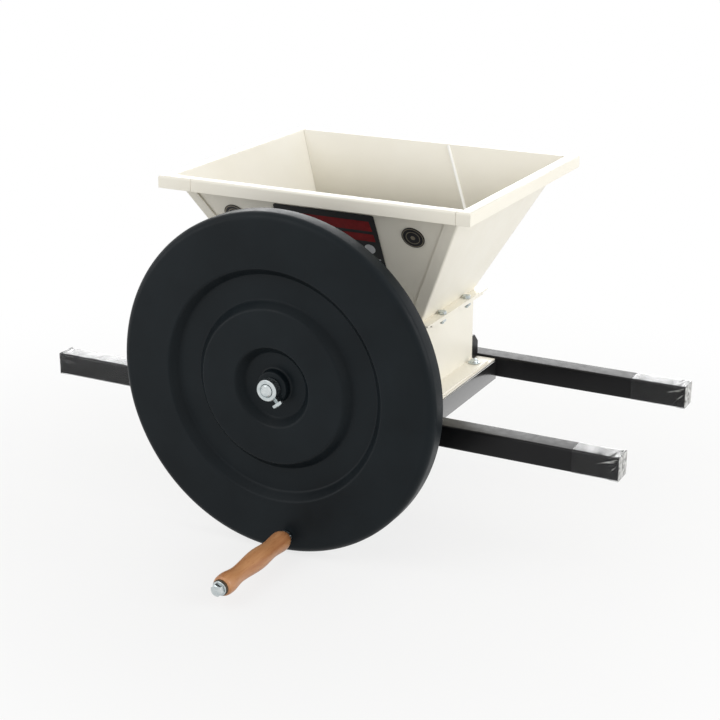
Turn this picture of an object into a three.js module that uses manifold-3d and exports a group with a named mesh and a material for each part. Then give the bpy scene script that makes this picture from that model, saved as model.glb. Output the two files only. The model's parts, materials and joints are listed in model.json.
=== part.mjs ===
// Hand-cranked apple scratter: a sheet hopper over a toothed drum, carried on two rails that
// lie across a tub, and turned by a heavy flywheel with a wooden crank grip.
// Millimetres. +X runs along the rails, +Y from the flywheel to the back, +Z up.
// The origin is the middle of the front rail's underside.

import * as THREE from 'three';
import { mergeVertices } from 'three/addons/utils/BufferGeometryUtils.js';
import Module from 'manifold-3d';

const wasm = await Module();
wasm.setup();

// Clearances, and how far a cutter runs past the face that it opens
const fitGap = 0.3;
const drumEndGap = 4;
const overcut = 1;

// Rails, cross members and base plate
const railLength = 840;
const railSection = 30;
const railWall = 2;
const railCornerRadius = 3;
const railPitch = 276;
const plugCapThickness = 3;
const plugDepth = 14;
const plugWall = 2.5;
const plugCornerRadius = 1;
const angleLeg = 30;
const angleShelf = 30;
const angleThickness = 3;
const angleInset = 0.5;
const plateHalfWidth = 140;
const plateThickness = 2;
const plateDrop = 3;
const dischargeLength = 160;
const dischargeWidth = 136;
const dischargeCornerRadius = 12;

// Hopper
const rimHeight = 313.5;
const hopperCentreY = 156.4;
const mouthHalfX = 207;
const mouthHalfY = 171;
const outletHalfX = 110;
const outletHalfY = 80;
const outletHeight = 130;
const sheet = 2;
const rimFlange = 16.4;
const rimLip = 16.4;
const cornerFold = 18;
const cornerWrap = 19.5;
const longCornerWrap = 50;
const outletFlange = 16;

// Mill housing
const housingWall = 3;
const endPlateThickness = 4;
const footWidth = 25;
const housingFlange = 15;
const shaftHoleRadius = 15;

// Bolts: radius, place and how far a shank stands out of its nut
const footBoltRadius = 4;
const footBoltInset = 12;
const footBoltEndInset = 15;
const footWasherRadius = 8.5;
const footWasherThickness = 1.6;
const hopperBoltRadius = 3;
const hopperBoltInset = 9;
const hopperBoltSpacing = 80;
const shankTail = 3;

// Shaft and bearings
const axisDrop = 44;
const shaftRadius = 8;
const shaftStickOut = 2.5;
const shaftBack = 267;
const shaftChamfer = 1.5;
const sleeveWall = 4;
const bearingBossRadius = 21;
const bearingBossLength = 15;
const bearingFlangeThickness = 6;
const bearingFlangeEndRadius = 13;
const bearingFlangeWaist = 25;
const bearingBoltSpacing = 76;
const bearingBoltRadius = 4;

// Scratter drum, its blades and the counter blocks
const drumRadius = 45;
const bladeCount = 6;
const bladeThickness = 2;
const bladeDepth = 11;
const toothHeight = 4;
const toothPitch = 12;
const toothFlat = 1;
const toothLean = 2.4;
const bladeStagger = 3;
const crushGap = 7;
const counterTopDrop = 6;
const counterHeight = 80;
const counterFaceLow = -38;
const counterFaceHigh = 30;
const grooveDepth = 2.5;
const grooveWidth = 5;

// Flywheel
const wheelRadius = 223.5;
const wheelThickness = 28;
const wheelFront = -126.4;
const wheelWall = 6;
const rimWall = 8;
const rimRound = 10;
const rimBackChamfer = 2;
const grooveOuter = 154;
const grooveInner = 106;
const dishOuter = 54;
const stepRun = 12;
const stepDepth = 12;
const hubRadius = 21;
const webCornerReach = 4;
const ribCount = 8;
const ribThickness = 5;
const ribSetback = 3;
const wheelFacets = 48;

// Collar on the shaft's front end and its clamp screw
const collarRadius = 14;
const collarLength = 12;
const endCollarLength = 8;
const clampScrewRadius = 3;
const clampScrewReach = 6;
const clampScrewAngle = -52;

// Crank bolt and turned grip
const crankInset = 23;
const crankAngle = -84.5;
const crankBoltRadius = 5;
const gripLength = 150;
const gripRootRadius = 13.2;
const gripNeckRadius = 10.8;
const gripBellyRadius = 13.6;
const gripEndRadius = 13;
const gripWasherRadius = 9.8;
const gripWasherThickness = 1.6;
const gripSpacerRadius = 11.2;
const gripSpacerThickness = 3;

// Hexagon fasteners, as width across flats and head height by nominal size
const hexFlats = { M6: 10, M8: 13, M10: 16 };
const hexHeight = { M6: 4.5, M8: 6, M10: 7 };

// Stays, label and badges
const stayThickness = 5;
const stayHeight = 35;
const stayChamfer = 12;
const labelCentreX = 7.5;
const labelWidth = 145;
const labelHeight = 92;
const labelTopDrop = 24.8;
const badgeRadius = 15.6;
const badgeX = 129.8;
const badgeDrop = 49.3;
const tagThickness = 1;

// Finishes: colour, roughness, metalness
const creamPaint = { color: 0xebe6d9, roughness: 0.35, metalness: 0.0 };
const blackPaint = { color: 0x1b1c1f, roughness: 0.4, metalness: 0.0 };
const blackPlastic = { color: 0x24272a, roughness: 0.55, metalness: 0.0 };
const zinc = { color: 0xc9cdd0, roughness: 0.3, metalness: 1.0 };
const stainless = { color: 0xb8bbbe, roughness: 0.3, metalness: 1.0 };
const castIron = { color: 0x55585c, roughness: 0.6, metalness: 0.6 };
const whiteNylon = { color: 0xe4e2da, roughness: 0.5, metalness: 0.0 };
const turnedWood = { color: 0xc28a57, roughness: 0.5, metalness: 0.0 };
const labelBlack = { color: 0x17171a, roughness: 0.4, metalness: 0.0 };

// Places that several pieces share
const railTop = railSection;
const plateTop = railTop - plateDrop;
const frontRailInner = railSection / 2;
const backRailInner = railPitch - railSection / 2;
const outletFrontY = hopperCentreY - outletHalfY;
const outletBackY = hopperCentreY + outletHalfY;
const housingOuterX = outletHalfX + housingWall;
const housingTop = outletHeight - fitGap;
const footTop = plateTop + fitGap + housingWall;
const bladeTipRadius = drumRadius + toothHeight;
const drumLength = 2 * outletHalfY - 2 * drumEndGap;
const counterFaceRadius = bladeTipRadius + crushGap;
const hopperDepth = rimHeight - outletHeight;
const slopeX = (mouthHalfX - outletHalfX) / hopperDepth;
const slopeY = (mouthHalfY - outletHalfY) / hopperDepth;
const axisHeight = outletHeight - axisDrop;
const counterTopHeight = outletHeight - counterTopDrop;
const counterBottomHeight = counterTopHeight - counterHeight;
const shaftFront = wheelFront - fitGap - collarLength - shaftStickOut;
const radians = THREE.MathUtils.degToRad;
const crankRadius = wheelRadius - crankInset;
const crankX = crankRadius * Math.cos(radians(crankAngle));
const crankZ = axisHeight + crankRadius * Math.sin(radians(crankAngle));

const object = new THREE.Group();

// Solids from geometries, and back

function asSolid(geometry) {
  const bare = geometry.clone();
  bare.deleteAttribute('normal');
  bare.deleteAttribute('uv');
  const welded = mergeVertices(bare, 1e-4);
  const triVerts = dropFlatTriangles(welded.index.array);
  const vertProperties = new Float32Array(welded.attributes.position.array);
  if (signedVolume(vertProperties, triVerts) < 0) {
    turnOver(triVerts);
  }
  return new wasm.Manifold(new wasm.Mesh({ numProp: 3, vertProperties, triVerts }));
}

function dropFlatTriangles(index) {
  const kept = [];
  for (let i = 0; i < index.length; i += 3) {
    const [a, b, c] = [index[i], index[i + 1], index[i + 2]];
    if (a !== b && b !== c && c !== a) {
      kept.push(a, b, c);
    }
  }
  return new Uint32Array(kept);
}

function signedVolume(vertices, index) {
  const corner = [new THREE.Vector3(), new THREE.Vector3(), new THREE.Vector3()];
  let total = 0;
  for (let i = 0; i < index.length; i += 3) {
    corner.forEach((v, k) => v.fromArray(vertices, 3 * index[i + k]));
    total += corner[0].dot(corner[1].clone().cross(corner[2]));
  }
  return total / 6;
}

function turnOver(index) {
  for (let i = 0; i < index.length; i += 3) {
    [index[i + 1], index[i + 2]] = [index[i + 2], index[i + 1]];
  }
}

function asGeometry(solid) {
  const mesh = solid.getMesh();
  const geometry = new THREE.BufferGeometry();
  geometry.setAttribute('position', new THREE.BufferAttribute(new Float32Array(mesh.vertProperties), 3));
  geometry.setIndex(new THREE.BufferAttribute(new Uint32Array(mesh.triVerts), 1));
  geometry.computeVertexNormals();
  return geometry;
}

function union(...solids) {
  return solids.reduce((whole, next) => whole.add(next));
}

function cut(solid, ...tools) {
  return tools.reduce((rest, tool) => rest.subtract(tool), solid);
}

function addPiece(name, solid, finish, parent = object) {
  const material = new THREE.MeshStandardMaterial(finish);
  const mesh = new THREE.Mesh(asGeometry(solid), material);
  mesh.name = name;
  parent.add(mesh);
  return mesh;
}

// Basic shapes, each placed where it is used

function block(x0, x1, y0, y1, z0, z1) {
  const geometry = new THREE.BoxGeometry(x1 - x0, y1 - y0, z1 - z0);
  geometry.translate((x0 + x1) / 2, (y0 + y1) / 2, (z0 + z1) / 2);
  return asSolid(geometry);
}

// A round bar along Y at (x, z)
function barY(radius, y0, y1, x, z, sides = 14) {
  const geometry = new THREE.CylinderGeometry(radius, radius, y1 - y0, sides);
  geometry.translate(x, (y0 + y1) / 2, z);
  return asSolid(geometry);
}

// A round bar along Z at (x, y)
function barZ(radius, z0, z1, x, y, sides = 12) {
  const geometry = new THREE.CylinderGeometry(radius, radius, z1 - z0, sides);
  geometry.rotateX(Math.PI / 2);
  geometry.translate(x, y, (z0 + z1) / 2);
  return asSolid(geometry);
}

// A hexagon prism along Y, measured across its flats
function hexY(flats, y0, y1, x, z) {
  return barY(flats / Math.sqrt(3), y0, y1, x, z, 6);
}

function hexZ(flats, z0, z1, x, y) {
  return barZ(flats / Math.sqrt(3), z0, z1, x, y, 6);
}

// A profile in X and Z, carried along Y
function extrudeAlongY(shape, y0, y1, curveSegments = 6) {
  const options = { depth: y1 - y0, bevelEnabled: false, curveSegments };
  const geometry = new THREE.ExtrudeGeometry(shape, options);
  geometry.rotateX(Math.PI / 2);
  geometry.translate(0, y1, 0);
  return asSolid(geometry);
}

// A profile of (radius, y) points turned about the Y axis, set at (x, z)
function turned(profile, x, z, segments) {
  const points = profile.map(([r, y]) => new THREE.Vector2(r, y));
  const geometry = new THREE.LatheGeometry(points, segments);
  geometry.translate(x, 0, z);
  return asSolid(geometry);
}

// Eight corners, lower four then upper four, each ring in the same order
function wedge(corners) {
  const geometry = new THREE.BufferGeometry();
  geometry.setAttribute('position', new THREE.BufferAttribute(new Float32Array(corners.flat()), 3));
  const faces = [[0, 3, 2, 1], [4, 5, 6, 7], [0, 1, 5, 4], [1, 2, 6, 5], [2, 3, 7, 6], [3, 0, 4, 7]];
  geometry.setIndex(faces.flatMap(([a, b, c, d]) => [a, b, c, a, c, d]));
  return asSolid(geometry);
}

function roundedSquare(side, radius) {
  const h = side / 2;
  const shape = new THREE.Shape();
  shape.moveTo(-h + radius, -h);
  shape.lineTo(h - radius, -h);
  shape.absarc(h - radius, -h + radius, radius, -Math.PI / 2, 0);
  shape.lineTo(h, h - radius);
  shape.absarc(h - radius, h - radius, radius, 0, Math.PI / 2);
  shape.lineTo(-h + radius, h);
  shape.absarc(-h + radius, h - radius, radius, Math.PI / 2, Math.PI);
  shape.lineTo(-h, -h + radius);
  shape.absarc(-h + radius, -h + radius, radius, Math.PI, 1.5 * Math.PI);
  return shape;
}

// A square profile carried along X, centred on the rail at railY
function extrudeAlongX(shape, x0, x1, railY) {
  const options = { depth: x1 - x0, bevelEnabled: false, curveSegments: 2 };
  const geometry = new THREE.ExtrudeGeometry(shape, options);
  geometry.rotateY(Math.PI / 2);
  geometry.translate(x0, railY, railSection / 2);
  return asSolid(geometry);
}

// Rails: square tube with a moulded plug in each end

const railSides = { front: 0, back: railPitch };
const halfRail = railLength / 2;
const plugFit = railSection - 2 * railWall - 2 * fitGap;

for (const [side, railY] of Object.entries(railSides)) {
  const tubeEnd = halfRail - plugCapThickness;
  const outside = extrudeAlongX(roundedSquare(railSection, railCornerRadius), -tubeEnd, tubeEnd, railY);
  const bore = roundedSquare(railSection - 2 * railWall, railCornerRadius - railWall / 2);
  const inside = extrudeAlongX(bore, -halfRail, halfRail, railY);
  addPiece(`${side}_rail`, cut(outside, inside), blackPaint);
  for (const [end, sign] of [['left', -1], ['right', 1]]) {
    const capInner = tubeEnd + fitGap;
    const tongueEnd = tubeEnd - plugDepth;
    const span = (a, b) => [Math.min(sign * a, sign * b), Math.max(sign * a, sign * b)];
    const capSpan = span(capInner, halfRail);
    const tongueSpan = span(tongueEnd, (capInner + halfRail) / 2);
    const hollowSpan = span(tongueEnd - overcut, capInner);
    const cap = extrudeAlongX(roundedSquare(railSection, railCornerRadius), ...capSpan, railY);
    const tongue = extrudeAlongX(roundedSquare(plugFit, plugCornerRadius), ...tongueSpan, railY);
    const hollowOutline = roundedSquare(plugFit - 2 * plugWall, plugCornerRadius);
    const hollow = extrudeAlongX(hollowOutline, ...hollowSpan, railY);
    addPiece(`rail_plug_${side}_${end}`, cut(union(cap, tongue), hollow), blackPlastic);
  }
}

// Cross members: angle iron between the rails, under the base plate

const footBoltX = housingOuterX + footBoltInset;
const footBoltYs = { front: outletFrontY + footBoltEndInset, rear: outletBackY - footBoltEndInset };
const angleTop = plateTop - plateThickness - fitGap;
const angleOuter = plateHalfWidth - angleInset;
const angleSpan = [frontRailInner + fitGap, backRailInner - fitGap];
const footHoleRadius = footBoltRadius + fitGap;

for (const [side, sign] of [['left', -1], ['right', 1]]) {
  const profile = new THREE.Shape();
  const points = [[angleOuter, angleTop], [angleOuter, angleTop - angleLeg],
    [angleOuter - angleThickness, angleTop - angleLeg],
    [angleOuter - angleThickness, angleTop - angleThickness],
    [angleOuter - angleShelf, angleTop - angleThickness],
    [angleOuter - angleShelf, angleTop]];
  points.forEach(([x, z], i) => (i ? profile.lineTo(sign * x, z) : profile.moveTo(sign * x, z)));
  const bar = extrudeAlongY(profile, ...angleSpan);
  const holes = Object.values(footBoltYs).map(
    (y) => barZ(footHoleRadius, 0, angleTop + overcut, sign * footBoltX, y));
  addPiece(`${side}_cross_member`, cut(bar, ...holes), blackPaint);
}

// Base plate: flat sheet between the rails, carried by the cross members

function roundedWindow(halfX, y0, y1, z0, z1, radius) {
  const shape = new THREE.Shape();
  const [low, high] = [y0 + radius, y1 - radius];
  shape.absarc(halfX - radius, high, radius, 0, Math.PI / 2);
  shape.absarc(-halfX + radius, high, radius, Math.PI / 2, Math.PI);
  shape.absarc(-halfX + radius, low, radius, Math.PI, 1.5 * Math.PI);
  shape.absarc(halfX - radius, low, radius, 1.5 * Math.PI, 2 * Math.PI);
  const options = { depth: z1 - z0, bevelEnabled: false, curveSegments: 3 };
  const geometry = new THREE.ExtrudeGeometry(shape, options);
  geometry.translate(0, 0, z0);
  return asSolid(geometry);
}

const plateSheet = block(-plateHalfWidth, plateHalfWidth, ...angleSpan, plateTop - plateThickness, plateTop);
const dischargeWindow = roundedWindow(dischargeLength / 2, hopperCentreY - dischargeWidth / 2,
  hopperCentreY + dischargeWidth / 2, 0, railTop, dischargeCornerRadius);
const footHoles = [-1, 1].flatMap((sign) => Object.values(footBoltYs).map(
  (y) => barZ(footHoleRadius, 0, footTop + overcut, sign * footBoltX, y)));
addPiece('base_plate', cut(plateSheet, dischargeWindow, ...footHoles), creamPaint);

// Bolts that join the hopper's outlet flange to the housing's top flange
const hopperBoltX = housingOuterX + hopperBoltInset;
const hopperBoltYs = {
  front: hopperCentreY - hopperBoltSpacing / 2,
  rear: hopperCentreY + hopperBoltSpacing / 2,
};
const hopperHoleZ = [housingTop - housingWall - overcut, outletHeight + sheet + overcut];
const hopperBoltHoles = [-1, 1].flatMap((sign) => Object.values(hopperBoltYs).map(
  (y) => barZ(hopperBoltRadius + fitGap, ...hopperHoleZ, sign * hopperBoltX, y)));

// Mill housing: two bent side walls with feet and top flanges, and two end plates

const wallFoot = plateTop + fitGap;
const sideWallY = [outletFrontY - endPlateThickness, outletBackY + endPlateThickness];

for (const [side, sign] of [['left', -1], ['right', 1]]) {
  const outline = [[outletHalfX, wallFoot], [housingOuterX + footWidth, wallFoot],
    [housingOuterX + footWidth, footTop], [housingOuterX, footTop],
    [housingOuterX, housingTop - housingWall], [housingOuterX + housingFlange, housingTop - housingWall],
    [housingOuterX + housingFlange, housingTop], [outletHalfX, housingTop]];
  const profile = new THREE.Shape();
  outline.forEach(([x, z], i) => (i ? profile.lineTo(sign * x, z) : profile.moveTo(sign * x, z)));
  const wall = extrudeAlongY(profile, ...sideWallY);
  addPiece(`housing_side_${side}`, cut(wall, ...footHoles, ...hopperBoltHoles), creamPaint);
}

const endPlateHalfX = outletHalfX - fitGap;
const bearingHoleRadius = bearingBoltRadius + fitGap;
const bearingBoltHoles = (y0, y1) => [-1, 1].map(
  (sign) => barY(bearingHoleRadius, y0, y1, (sign * bearingBoltSpacing) / 2, axisHeight));

function housingEndPlate(innerY, outward) {
  const outerY = innerY + outward * endPlateThickness;
  const flangeY = outerY + outward * housingFlange;
  const ordered = (a, b) => [Math.min(a, b), Math.max(a, b)];
  const alongX = [-endPlateHalfX, endPlateHalfX];
  const through = ordered(innerY - outward * overcut, outerY + outward * overcut);
  const wall = block(...alongX, ...ordered(innerY, outerY), wallFoot, housingTop);
  const flange = block(...alongX, ...ordered(innerY, flangeY), housingTop - housingWall, housingTop);
  const shaftHole = barY(shaftHoleRadius, ...through, 0, axisHeight, 24);
  return cut(union(wall, flange), shaftHole, ...bearingBoltHoles(...through));
}

addPiece('housing_front_plate', housingEndPlate(outletFrontY, -1), creamPaint);
addPiece('housing_rear_plate', housingEndPlate(outletBackY, 1), creamPaint);

// Foot bolts through the feet, the base plate and the cross members, each with its nut below

for (const [side, sign] of [['left', -1], ['right', 1]]) {
  for (const [end, y] of Object.entries(footBoltYs)) {
    const x = sign * footBoltX;
    const headBottom = footTop + fitGap;
    const nutTop = angleTop - angleThickness - fitGap;
    const nutBottom = nutTop - hexHeight.M8;
    const washerTop = headBottom + footWasherThickness;
    const washer = barZ(footWasherRadius, headBottom, washerTop, x, y);
    const head = hexZ(hexFlats.M8, washerTop - footWasherThickness / 2, washerTop + hexHeight.M8, x, y);
    const shank = barZ(footBoltRadius, nutBottom - shankTail, washerTop, x, y);
    addPiece(`foot_bolt_${end}_${side}`, union(washer, head, shank), zinc);
    const nutHole = barZ(footHoleRadius, nutBottom - overcut, nutTop + overcut, x, y);
    addPiece(`foot_nut_${end}_${side}`, cut(hexZ(hexFlats.M8, nutBottom, nutTop, x, y), nutHole), zinc);
  }
}

// Stays: black flats between the housing's rear corners and the back rail

const stayY = [sideWallY[1] + fitGap, backRailInner - fitGap];
for (const [side, sign] of [['left', -1], ['right', 1]]) {
  const geometryOutline = new THREE.Shape();
  const stayTop = plateTop + fitGap + stayHeight;
  geometryOutline.moveTo(stayY[0], plateTop + fitGap);
  geometryOutline.lineTo(stayY[1], plateTop + fitGap);
  geometryOutline.lineTo(stayY[1], stayTop - stayChamfer);
  geometryOutline.lineTo(stayY[1] - stayChamfer, stayTop);
  geometryOutline.lineTo(stayY[0], stayTop);
  const geometry = new THREE.ExtrudeGeometry(geometryOutline, { depth: stayThickness, bevelEnabled: false });
  // The outline's first axis becomes Y and its second Z
  geometry.rotateX(Math.PI / 2);
  geometry.rotateZ(Math.PI / 2);
  geometry.translate(sign > 0 ? housingOuterX - stayThickness : -housingOuterX, 0, 0);
  addPiece(`rear_stay_${side}`, asSolid(geometry), blackPaint);
}

// Hopper. Each panel is drawn facing outward along w, with u along its length, then set in place.
// The mouth and outlet half sizes give the inner faces; the walls stand outside them.

const wallX = sheet * Math.sqrt(1 + slopeX * slopeX);
const wallY = sheet * Math.sqrt(1 + slopeY * slopeY);
const innerX = (z) => outletHalfX + slopeX * (z - outletHeight);
const innerY = (z) => outletHalfY + slopeY * (z - outletHeight);
const rimOuterX = mouthHalfX + rimFlange;
const rimOuterY = mouthHalfY + rimFlange;
const underRim = rimHeight - sheet - fitGap;
const rootBottom = underRim - overcut;
const lipHeights = [rimHeight - rimLip, rimHeight];

// Sheet between two heights: u0, u1, w0 and w1 are functions of height
function leaningSheet(z0, z1, u0, u1, w0, w1, place) {
  const ring = (z) => [[u0(z), w0(z)], [u1(z), w0(z)], [u1(z), w1(z)], [u0(z), w1(z)]]
    .map(([u, w]) => place(u, w, z));
  return wedge([...ring(z0), ...ring(z1)]);
}

function placedBlock(u0, u1, w0, w1, z0, z1, place) {
  const [a, b] = [place(u0, w0, z0), place(u1, w1, z1)];
  const [x, y, z] = [0, 1, 2].map((k) => [Math.min(a[k], b[k]), Math.max(a[k], b[k])]);
  return block(...x, ...y, ...z);
}

// Front and back panels stand between the side panels
function endPanel(outward, wrapLeft, wrapRight) {
  const place = (u, w, z) => [u, hopperCentreY + outward * w, z];
  const halfU = (z) => innerX(z) - fitGap;
  const outerW = (z) => innerY(z) + wallY;
  const wall = leaningSheet(outletHeight, underRim, (z) => -halfU(z), halfU, innerY, outerW, place);
  const flangeU = [-(rimOuterX - wrapLeft - fitGap), rimOuterX - wrapRight - fitGap];
  const rootW = innerY(rootBottom);
  const root = placedBlock(...flangeU, rootW, rootW + wallY, rootBottom, rimHeight, place);
  const flange = placedBlock(...flangeU, rootW, rimOuterY, rimHeight - sheet, rimHeight, place);
  const lip = placedBlock(...flangeU, rimOuterY - sheet, rimOuterY, ...lipHeights, place);
  const footW = [outletHalfY, outletHalfY + wallY + outletFlange];
  const foot = placedBlock(-outletHalfX + fitGap, outletHalfX - fitGap, ...footW,
    outletHeight, outletHeight + sheet, place);
  return union(wall, root, flange, lip, foot);
}

// Side panels run the full depth and fold round the corners over the end panels
function sidePanel(outward, wrapFront, wrapBack) {
  const place = (u, w, z) => [outward * w, hopperCentreY + u, z];
  const foldOuter = (z) => innerY(z) + 2 * wallY + fitGap;
  const foldInner = (z) => innerY(z) + wallY + fitGap;
  const outerX = (z) => innerX(z) + wallX;
  const wall = leaningSheet(outletHeight, underRim, (z) => -foldOuter(z), foldOuter, innerX, outerX, place);
  const folds = [-1, 1].map((end) => leaningSheet(outletHeight + sheet + fitGap, underRim,
    (z) => end * foldInner(z), (z) => end * foldOuter(z), (z) => outerX(z) - cornerFold, outerX, place));
  const alongU = [-rimOuterY, rimOuterY];
  const rootW = innerX(rootBottom);
  const rootU = innerY(rootBottom) - fitGap;
  const root = placedBlock(-rootU, rootU, rootW, rootW + wallX, rootBottom, rimHeight, place);
  const flange = placedBlock(-mouthHalfY, mouthHalfY, rootW, rimOuterX, rimHeight - sheet, rimHeight, place);
  const lip = placedBlock(...alongU, rimOuterX - sheet, rimOuterX, ...lipHeights, place);
  const wraps = [[-1, wrapFront], [1, wrapBack]].flatMap(([end, wrap]) => {
    const inner = rimOuterX - wrap;
    const cornerInnerU = mouthHalfY + fitGap;
    return [
      placedBlock(end * cornerInnerU, end * rimOuterY, inner, rimOuterX, rimHeight - sheet, rimHeight, place),
      placedBlock(end * (mouthHalfY - overcut), end * (cornerInnerU + overcut), Math.max(inner, rootW),
        rimOuterX, rimHeight - sheet, rimHeight, place),
      placedBlock(end * (rimOuterY - sheet), end * rimOuterY, inner, rimOuterX, ...lipHeights, place),
    ];
  });
  const footU = outletHalfY + wallY + outletFlange;
  const footW = [innerX(outletHeight + sheet), outletHalfX + wallX + outletFlange];
  const foot = placedBlock(-footU, footU, ...footW, outletHeight, outletHeight + sheet, place);
  return union(wall, ...folds, root, flange, lip, ...wraps, foot);
}

addPiece('hopper_front_panel', endPanel(-1, longCornerWrap, cornerWrap), creamPaint);
addPiece('hopper_back_panel', endPanel(1, cornerWrap, cornerWrap), creamPaint);
addPiece('hopper_left_panel', cut(sidePanel(-1, longCornerWrap, cornerWrap), ...hopperBoltHoles), creamPaint);
addPiece('hopper_right_panel', cut(sidePanel(1, cornerWrap, cornerWrap), ...hopperBoltHoles), creamPaint);

for (const [side, sign] of [['left', -1], ['right', 1]]) {
  for (const [end, y] of Object.entries(hopperBoltYs)) {
    const x = sign * hopperBoltX;
    const headBottom = outletHeight + sheet + fitGap;
    const nutTop = housingTop - housingWall - fitGap;
    const head = hexZ(hexFlats.M6, headBottom, headBottom + hexHeight.M6, x, y);
    const nut = hexZ(hexFlats.M6, nutTop - hexHeight.M6, nutTop, x, y);
    const shankZ = [nutTop - hexHeight.M6 - shankTail, headBottom + hexHeight.M6 / 2];
    const shank = barZ(hopperBoltRadius, ...shankZ, x, y);
    addPiece(`hopper_bolt_${end}_${side}`, union(head, nut, shank), zinc);
  }
}

// Label plate and a round badge on either side of it, on the front panel's outer face

const panelFace = (z) => hopperCentreY - innerY(z) - wallY - fitGap;
const leanDown = Math.atan(slopeY);

// Turns a plate drawn flat in X and Z to lie on the front panel, its centre at (x, z)
function onFrontPanel(geometry, x, z) {
  geometry.rotateX(leanDown);
  geometry.translate(x, panelFace(z), z);
  return asSolid(geometry);
}

const labelHalfRise = (labelHeight / 2) * Math.cos(leanDown);
const labelZ = rimHeight - labelTopDrop - labelHalfRise;
const labelPlate = new THREE.BoxGeometry(labelWidth, tagThickness, labelHeight);
labelPlate.translate(0, -tagThickness / 2, 0);
addPiece('label_plate', onFrontPanel(labelPlate, labelCentreX, labelZ), labelBlack);

for (const [side, sign] of [['left', -1], ['right', 1]]) {
  const disc = new THREE.CylinderGeometry(badgeRadius, badgeRadius, tagThickness, 28);
  disc.translate(0, -tagThickness / 2, 0);
  const badge = onFrontPanel(disc, sign * badgeX, rimHeight - badgeDrop);
  addPiece(`round_badge_${side}`, badge, labelBlack);
}

// Flanged bearings on the end plates' outer faces, each held by two bolts

const bearingEnds = {
  front: { faceY: sideWallY[0] - fitGap, outward: -1 },
  rear: { faceY: sideWallY[1] + fitGap, outward: 1 },
};

function ovalFlange(y0, y1) {
  const waist = bearingFlangeWaist;
  const reach = bearingBoltSpacing / 2;
  const tangent = Math.acos((waist - bearingFlangeEndRadius) / reach);
  const shape = new THREE.Shape();
  shape.absarc(reach, 0, bearingFlangeEndRadius, -tangent, tangent);
  shape.absarc(0, 0, waist, tangent, Math.PI - tangent);
  shape.absarc(-reach, 0, bearingFlangeEndRadius, Math.PI - tangent, Math.PI + tangent);
  shape.absarc(0, 0, waist, Math.PI + tangent, 2 * Math.PI - tangent);
  return extrudeAlongY(shape, y0, y1, 6);
}

for (const [end, { faceY, outward }] of Object.entries(bearingEnds)) {
  const reachY = (d) => faceY + outward * d;
  const ordered = (a, b) => [Math.min(reachY(a), reachY(b)), Math.max(reachY(a), reachY(b))];
  const flange = ovalFlange(...ordered(0, bearingFlangeThickness)).translate([0, 0, axisHeight]);
  const boss = barY(bearingBossRadius, ...ordered(0, bearingBossLength), 0, axisHeight, 28);
  const boreY = ordered(-overcut, bearingBossLength + overcut);
  const bore = barY(shaftRadius + fitGap, ...boreY, 0, axisHeight, 20);
  const holes = bearingBoltHoles(...ordered(-overcut, bearingFlangeThickness + overcut));
  addPiece(`bearing_${end}`, cut(union(flange, boss), bore, ...holes), castIron);
  for (const [side, sign] of [['left', -1], ['right', 1]]) {
    const x = (sign * bearingBoltSpacing) / 2;
    const headFrom = bearingFlangeThickness + fitGap;
    const head = hexY(hexFlats.M8, ...ordered(headFrom, headFrom + hexHeight.M8), x, axisHeight);
    const shankEnd = headFrom + hexHeight.M8 / 2;
    const shank = barY(bearingBoltRadius, ...ordered(-endPlateThickness, shankEnd), x, axisHeight);
    addPiece(`bearing_bolt_${end}_${side}`, union(head, shank), zinc);
  }
}

// Counter blocks: castings on the side walls, their faces hollowed round the drum and grooved
// where the teeth pass

const toothCount = Math.floor((drumLength - toothPitch) / toothPitch);
const toothY = (i) => hopperCentreY + (i - (toothCount - 1) / 2) * toothPitch;
const counterY = [outletFrontY + fitGap, outletBackY - fitGap];

for (const [side, sign] of [['left', -1], ['right', 1]]) {
  const seatX = outletHalfX - fitGap;
  const profile = new THREE.Shape();
  profile.moveTo(seatX, counterBottomHeight);
  profile.lineTo(seatX, counterTopHeight);
  profile.absarc(0, axisHeight, counterFaceRadius, radians(counterFaceHigh), radians(counterFaceLow), true);
  const casting = extrudeAlongY(profile, ...counterY, 7);
  const grooves = Array.from({ length: toothCount }, (_, i) => barY(counterFaceRadius + grooveDepth,
    toothY(i) - grooveWidth / 2, toothY(i) + grooveWidth / 2, 0, axisHeight, 36));
  const solid = cut(casting, ...grooves);
  const turnedRound = solid.rotate([0, 0, 180]).translate([0, 2 * hopperCentreY, 0]);
  addPiece(`counter_block_${side}`, sign > 0 ? solid : turnedRound, castIron);
}

// Rotor: everything that turns with the flywheel

const rotor = new THREE.Group();
object.add(rotor);

addPiece('shaft', turned([[0, shaftFront], [shaftRadius - shaftChamfer, shaftFront],
  [shaftRadius, shaftFront + shaftChamfer], [shaftRadius, shaftBack - shaftChamfer],
  [shaftRadius - shaftChamfer, shaftBack], [0, shaftBack]], 0, axisHeight, 20), zinc, rotor);

// Drum with a slot for each blade
const drumY = [hopperCentreY - drumLength / 2, hopperCentreY + drumLength / 2];
const bladeAngles = Array.from({ length: bladeCount }, (_, i) => (2 * Math.PI * i) / bladeCount);

function radialBox(thickness, r0, r1, y0, y1, angle) {
  const geometry = new THREE.BoxGeometry(r1 - r0, y1 - y0, thickness);
  geometry.translate((r0 + r1) / 2, (y0 + y1) / 2, 0);
  geometry.rotateY(angle);
  geometry.translate(0, 0, axisHeight);
  return asSolid(geometry);
}

const slots = bladeAngles.map((angle) => radialBox(bladeThickness + 2 * fitGap,
  drumRadius - bladeDepth - fitGap, drumRadius + overcut, drumY[0] - overcut, drumY[1] + overcut, angle));
const drumBore = barY(shaftRadius + fitGap, drumY[0] - overcut, drumY[1] + overcut, 0, axisHeight, 20);
addPiece('drum', cut(barY(drumRadius, ...drumY, 0, axisHeight, 42), drumBore, ...slots), whiteNylon, rotor);

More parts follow.
